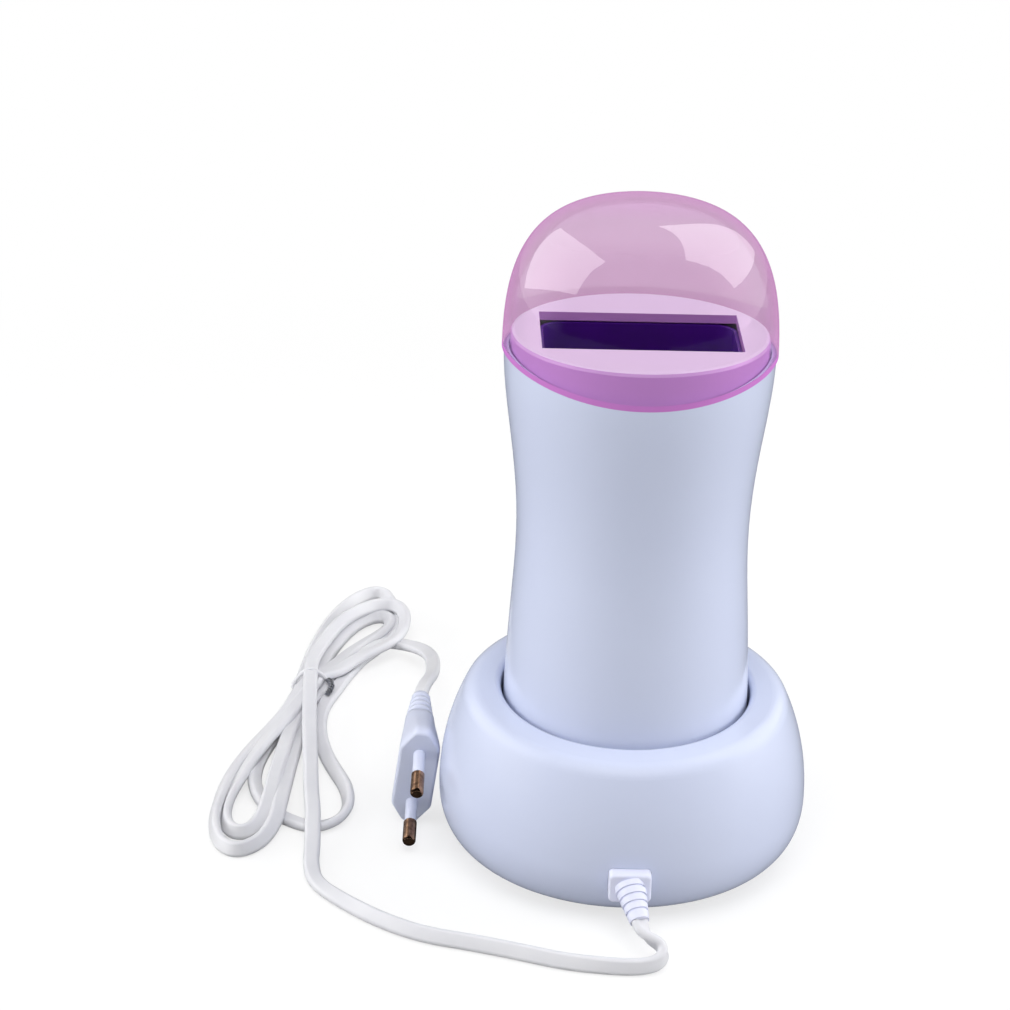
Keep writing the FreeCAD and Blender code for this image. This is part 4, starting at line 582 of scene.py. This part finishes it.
def wireCurve(name, points, radius, material, cyclic=False):
    data = bpy.data.curves.new(name, "CURVE")
    data.dimensions = "3D"
    data.bevel_depth = radius
    data.bevel_resolution = 3
    data.resolution_u = 6
    data.use_fill_caps = not cyclic
    spline = data.splines.new("NURBS")
    spline.points.add(len(points) - 1)
    for point, place in zip(spline.points, points):
        point.co = (*place, 1)
    spline.order_u = 3
    spline.use_endpoint_u = not cyclic
    spline.use_cyclic_u = cyclic
    piece = bpy.data.objects.new(name, data)
    scene.collection.objects.link(piece)
    data.materials.append(material)
    return piece


# Points that wind round a path, like one of two wires twisted together.
def twistedPath(path, phase):
    points = []
    count = tie["twistSteps"]
    knots = [Vector(p) for p in path]
    for k in range(count + 1):
        at = k / count * (len(knots) - 1)
        index = min(int(at), len(knots) - 2)
        centre = knots[index].lerp(knots[index + 1], at - index)
        way = (knots[index + 1] - knots[index]).normalized()
        across = way.cross(Vector((0, 0, 1))).normalized()
        over = across.cross(way)
        angle = 2 * math.pi * tie["twistTurns"] * k / count + phase
        points.append(centre + (across * math.cos(angle) + over * math.sin(angle)) * tie["twistRadius"])
    return points


def makeTie():
    band = wireCurve("tieBand", tie["band"], tie["wire"], finishes["tie_plastic"], True)
    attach(band, "base")
    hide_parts("cord_tie")
    ends = []
    for label, phase in (("A", 0.0), ("B", math.pi)):
        path = twistedPath(tie["twistPath"], phase)
        end = wireCurve("tieEnd" + label, path, tie["endWire"], finishes["spring_steel"])
        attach(end, "base")
        ends.append(end)
    return [band] + ends


tieParts = makeTie()
print("tie made")

# Mains plug, moulded on the cord

plug = {
    "place": (-0.0622, 0.0050, 0.01715),
    "turn": 0.5,
    "lean": 7.0,
    "dip": 11.0,
    "halfWidth": 0.0173,
    "halfFlat": 0.0110,
    "halfThick": 0.0061,
    "halfEdge": 0.0020,
    "body": 0.0275,
    "straight": 0.0030,
    "neck": 0.0045,
    "tip": 0.0027,
    "relief": 0.0135,
    "ribs": 5,
    "round": 0.0012,
    # rings at the rounded edge of the face: distance behind it, and how far inside the outline
    "faceRings": [(0.0, 0.0009), (0.0002, 0.0004), (0.0008, 0.0)],
    # from the body's outline to the neck's: ring count, bulge, and how much the corners open
    "bodyRings": 8,
    "bulge": 0.10,
    "roundGrowth": 0.001,
    # the neck's width, flat, thickness and edge as shares of its radius
    "neckShares": (1.25, 0.6, 1.0, 0.6),
    # one rib: place along its pitch, and size as a share of the radius there
    "ribRings": [(0.05, 0.84), (0.12, 1.0), (0.62, 0.97), (0.72, 0.84), (0.98, 0.84)],
    "ribShares": (1.02, 0.45, 1.0, 0.45),
    "tipShares": (1.0, 0.45, 1.0, 0.45),
    "tipSize": 0.9,
}


# The corners of a closed outline, each cut by a small arc that keeps to its part of the sides.
def roundedOutline(corners, radius, steps=4, sideShare=0.45):
    points = []
    for k, corner in enumerate(corners):
        here = Vector(corner)
        back, onward = Vector(corners[k - 1]) - here, Vector(corners[(k + 1) % len(corners)]) - here
        reach = min(radius, back.length * sideShare, onward.length * sideShare)
        first, last = here + back.normalized() * reach, here + onward.normalized() * reach
        for step in range(steps + 1):
            share = step / steps
            near, far = first.lerp(here, share), here.lerp(last, share)
            points.append(near.lerp(far, share))
    return points


# One eight-cornered outline of the plug.
def plugRing(width, flat, thick, edge, radius):
    corners = [(edge, width), (thick, flat), (thick, -flat), (edge, -width),
               (-edge, -width), (-thick, -flat), (-thick, flat), (-edge, width)]
    return roundedOutline(corners, radius)


# (distance behind the face, outline) along the plug's body and ribbed neck.
def plugSections():
    width, flat, thick, edge = (plug[key] for key in ("halfWidth", "halfFlat", "halfThick", "halfEdge"))
    body, straight, neck = plug["body"], plug["straight"], plug["neck"]
    sections = []
    for back, inset in plug["faceRings"]:
        sections.append((back, plugRing(width - inset, flat, thick - inset, edge, plug["round"])))
    for k in range(plug["bodyRings"] + 1):
        share = k / plug["bodyRings"]
        eased = share + plug["bulge"] * math.sin(math.pi * share) * (share - 0.5)
        sizes = [size + (neck * part - size) * eased
                 for size, part in zip((width, flat, thick, edge), plug["neckShares"])]
        ring = plugRing(*sizes, plug["round"] + plug["roundGrowth"] * share)
        sections.append((straight + (body - straight) * share, ring))
    pitch = plug["relief"] / plug["ribs"]
    for k in range(plug["ribs"]):
        radius = neck + (plug["tip"] - neck) * k / plug["ribs"]
        for back, part in plug["ribRings"]:
            size = radius * part
            ring = plugRing(*(size * share for share in plug["ribShares"]), size)
            sections.append((body + (k + back) * pitch, ring))
    end = plug["tip"] * plug["tipSize"]
    sections.append((body + plug["relief"], plugRing(*(end * share for share in plug["tipShares"]), end)))
    return sections


# A closed smooth piece through outlines of equal point count, along local Y.
def loftedPiece(name, sections, material, place):
    mesh = bmesh.new()
    rings = [[mesh.verts.new((p.x, back, p.y)) for p in ring] for back, ring in sections]
    count = len(rings[0])
    for first, second in zip(rings, rings[1:]):
        for k in range(count):
            mesh.faces.new((first[k], first[(k + 1) % count], second[(k + 1) % count], second[k]))
    for ring in (rings[0], rings[-1]):
        mesh.faces.new(ring)
    bmesh.ops.recalc_face_normals(mesh, faces=mesh.faces)
    data = bpy.data.meshes.new(name)
    mesh.to_mesh(data)
    mesh.free()
    data.transform(place)
    for face in data.polygons:
        face.use_smooth = len(face.vertices) == 4
    data.materials.append(material)
    piece = bpy.data.objects.new(name, data)
    scene.collection.objects.link(piece)
    return piece


def plugPlace():
    place = Matrix.Translation(plug["place"])
    for key, axis in (("turn", "Z"), ("lean", "Y"), ("dip", "X")):
        place = place @ Matrix.Rotation(math.radians(plug[key]), 4, axis)
    return place


def makePlug():
    piece = loftedPiece("plugMoulding", plugSections(), finishes["plug_pvc"], plugPlace())
    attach(piece, "base")
    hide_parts("plug_body")
    return piece


plugPiece = makePlug()

# Table, backdrop and light

studio = {
    "floorSize": 4.0,
    # the table seen by the camera: the share that is plain white near the object, the distances over
    # which it turns all white, and the paper under the shadow
    "floorShine": 0.70,
    "shadowNear": 0.25,
    "shadowFar": 0.60,
    "floorWhite": 0.95,
    # the same table as it lights the object and as the object mirrors it
    "floorTone": 0.66,
    "floorMirrored": 0.05,
    "floorRoughness": 0.9,
    "floorSpecular": 0.1,
    # the room's light on matt surfaces: low down, straight above, and the height where it starts to rise
    "worldLow": 0.05,
    "worldTop": 0.25,
    "worldRise": 0.35,
    # the room as mirror rays see it, in front of the object and behind it, and how far to either
    # side the one turns into the other
    "frontShade": 0.01,
    "backShade": 0.35,
    "shadeTurn": 0.35,
    # what the lights point at, above the table
    "aimHeight": 0.12,
    "lights": [
        # name, angle round the object, angle above the table, turn in its own plane, distance,
        # width, height, power, and whether glossy surfaces mirror it
        ("softboxLeft", -105, 34, 24, 0.95, 1.24, 0.79, 2.8, True),
        ("softboxRight", 120, 42, -12, 0.95, 1.05, 0.90, 3.0, True),
        ("fillLeft", -85, 6, 0, 1.60, 1.20, 1.20, 20.0, False),
        ("fillRight", 88, 6, 0, 1.60, 1.20, 1.20, 24.0, False),
        ("fillAbove", 0, 62, 0, 1.60, 1.20, 1.20, 18.5, False),
    ],
}


# 1 for rays that see the background as it is: camera rays and rays through clear plastic.
def lookRays(tree, path):
    return calculate(tree, "MAXIMUM", path["Is Camera Ray"], path["Is Transmission Ray"])


def makeFloor():
    half = studio["floorSize"] / 2
    data = bpy.data.meshes.new("table")
    corners = [(-half, -half, 0), (half, -half, 0), (half, half, 0), (-half, half, 0)]
    data.from_pydata(corners, [], [(0, 1, 2, 3)])
    table = bpy.data.objects.new("table", data)
    scene.collection.objects.link(table)
    material = bpy.data.materials.new("tablePaper")
    material.use_nodes = True
    tree = material.node_tree
    surface = tree.nodes["Principled BSDF"]
    surface.inputs["Roughness"].default_value = studio["floorRoughness"]
    surface.inputs["Specular IOR Level"].default_value = studio["floorSpecular"]
    path = tree.nodes.new("ShaderNodeLightPath").outputs
    look = lookRays(tree, path)
    dull, bright = ((studio[key],) * 3 + (1,) for key in ("floorTone", "floorWhite"))
    feed(tree, surface.inputs["Base Color"], mixColors(tree, look, dull, bright))
    glow = tree.nodes.new("ShaderNodeEmission")
    tree.links.new(blend(tree, look, studio["floorMirrored"], 1.0), glow.inputs["Strength"])
    away = tree.nodes.new("ShaderNodeVectorMath")
    away.operation = "LENGTH"
    feed(tree, away.inputs[0], tree.nodes.new("ShaderNodeTexCoord").outputs["Object"])
    near, far = studio["shadowNear"], studio["shadowFar"]
    plain = mapRange(tree, away.outputs["Value"], studio["floorShine"], 1.0, near, far)
    share = blend(tree, look, path["Is Glossy Ray"], plain)
    paper = mixShaders(tree, share, surface.outputs[0], glow.outputs[0])
    feed(tree, tree.nodes["Material Output"].inputs["Surface"], paper)
    data.materials.append(material)


def makeWorld():
    world = bpy.data.worlds.new("studio")
    scene.world = world
    world.use_nodes = True
    tree = world.node_tree
    path = tree.nodes.new("ShaderNodeLightPath").outputs
    way = tree.nodes.new("ShaderNodeSeparateXYZ")
    tree.links.new(tree.nodes.new("ShaderNodeTexCoord").outputs["Generated"], way.inputs[0])
    low, top, rise = (studio[key] for key in ("worldLow", "worldTop", "worldRise"))
    matt = mapRange(tree, way.outputs["Z"], low, top, rise, 1.0, "LINEAR")
    front, back, turn = (studio[key] for key in ("frontShade", "backShade", "shadeTurn"))
    mirrored = mapRange(tree, way.outputs["Y"], front, back, -turn, turn, "LINEAR")
    light = blend(tree, path["Is Glossy Ray"], matt, mirrored)
    strength = blend(tree, lookRays(tree, path), light, 1.0)
    room = tree.nodes["Background"]
    room.inputs["Color"].default_value = (1, 1, 1, 1)
    tree.links.new(strength, room.inputs["Strength"])


def makeLights():
    middle = Vector((0, 0, studio["aimHeight"]))
    for name, around, above, turn, distance, width, height, power, mirrored in studio["lights"]:
        azimuth, climb = math.radians(around), math.radians(above)
        level = math.cos(climb)
        way = Vector((math.sin(azimuth) * level, -math.cos(azimuth) * level, math.sin(climb)))
        data = bpy.data.lights.new(name, "AREA")
        data.shape = "RECTANGLE"
        data.size, data.size_y, data.energy = width, height, power
        lamp = bpy.data.objects.new(name, data)
        lamp.location = middle + way * distance
        aim = (-way).to_track_quat("-Z", "Y") @ Euler((0, 0, math.radians(turn))).to_quaternion()
        lamp.rotation_euler = aim.to_euler()
        lamp.visible_glossy = mirrored
        scene.collection.objects.link(lamp)


makeFloor()
makeWorld()
makeLights()
print("studio lit")
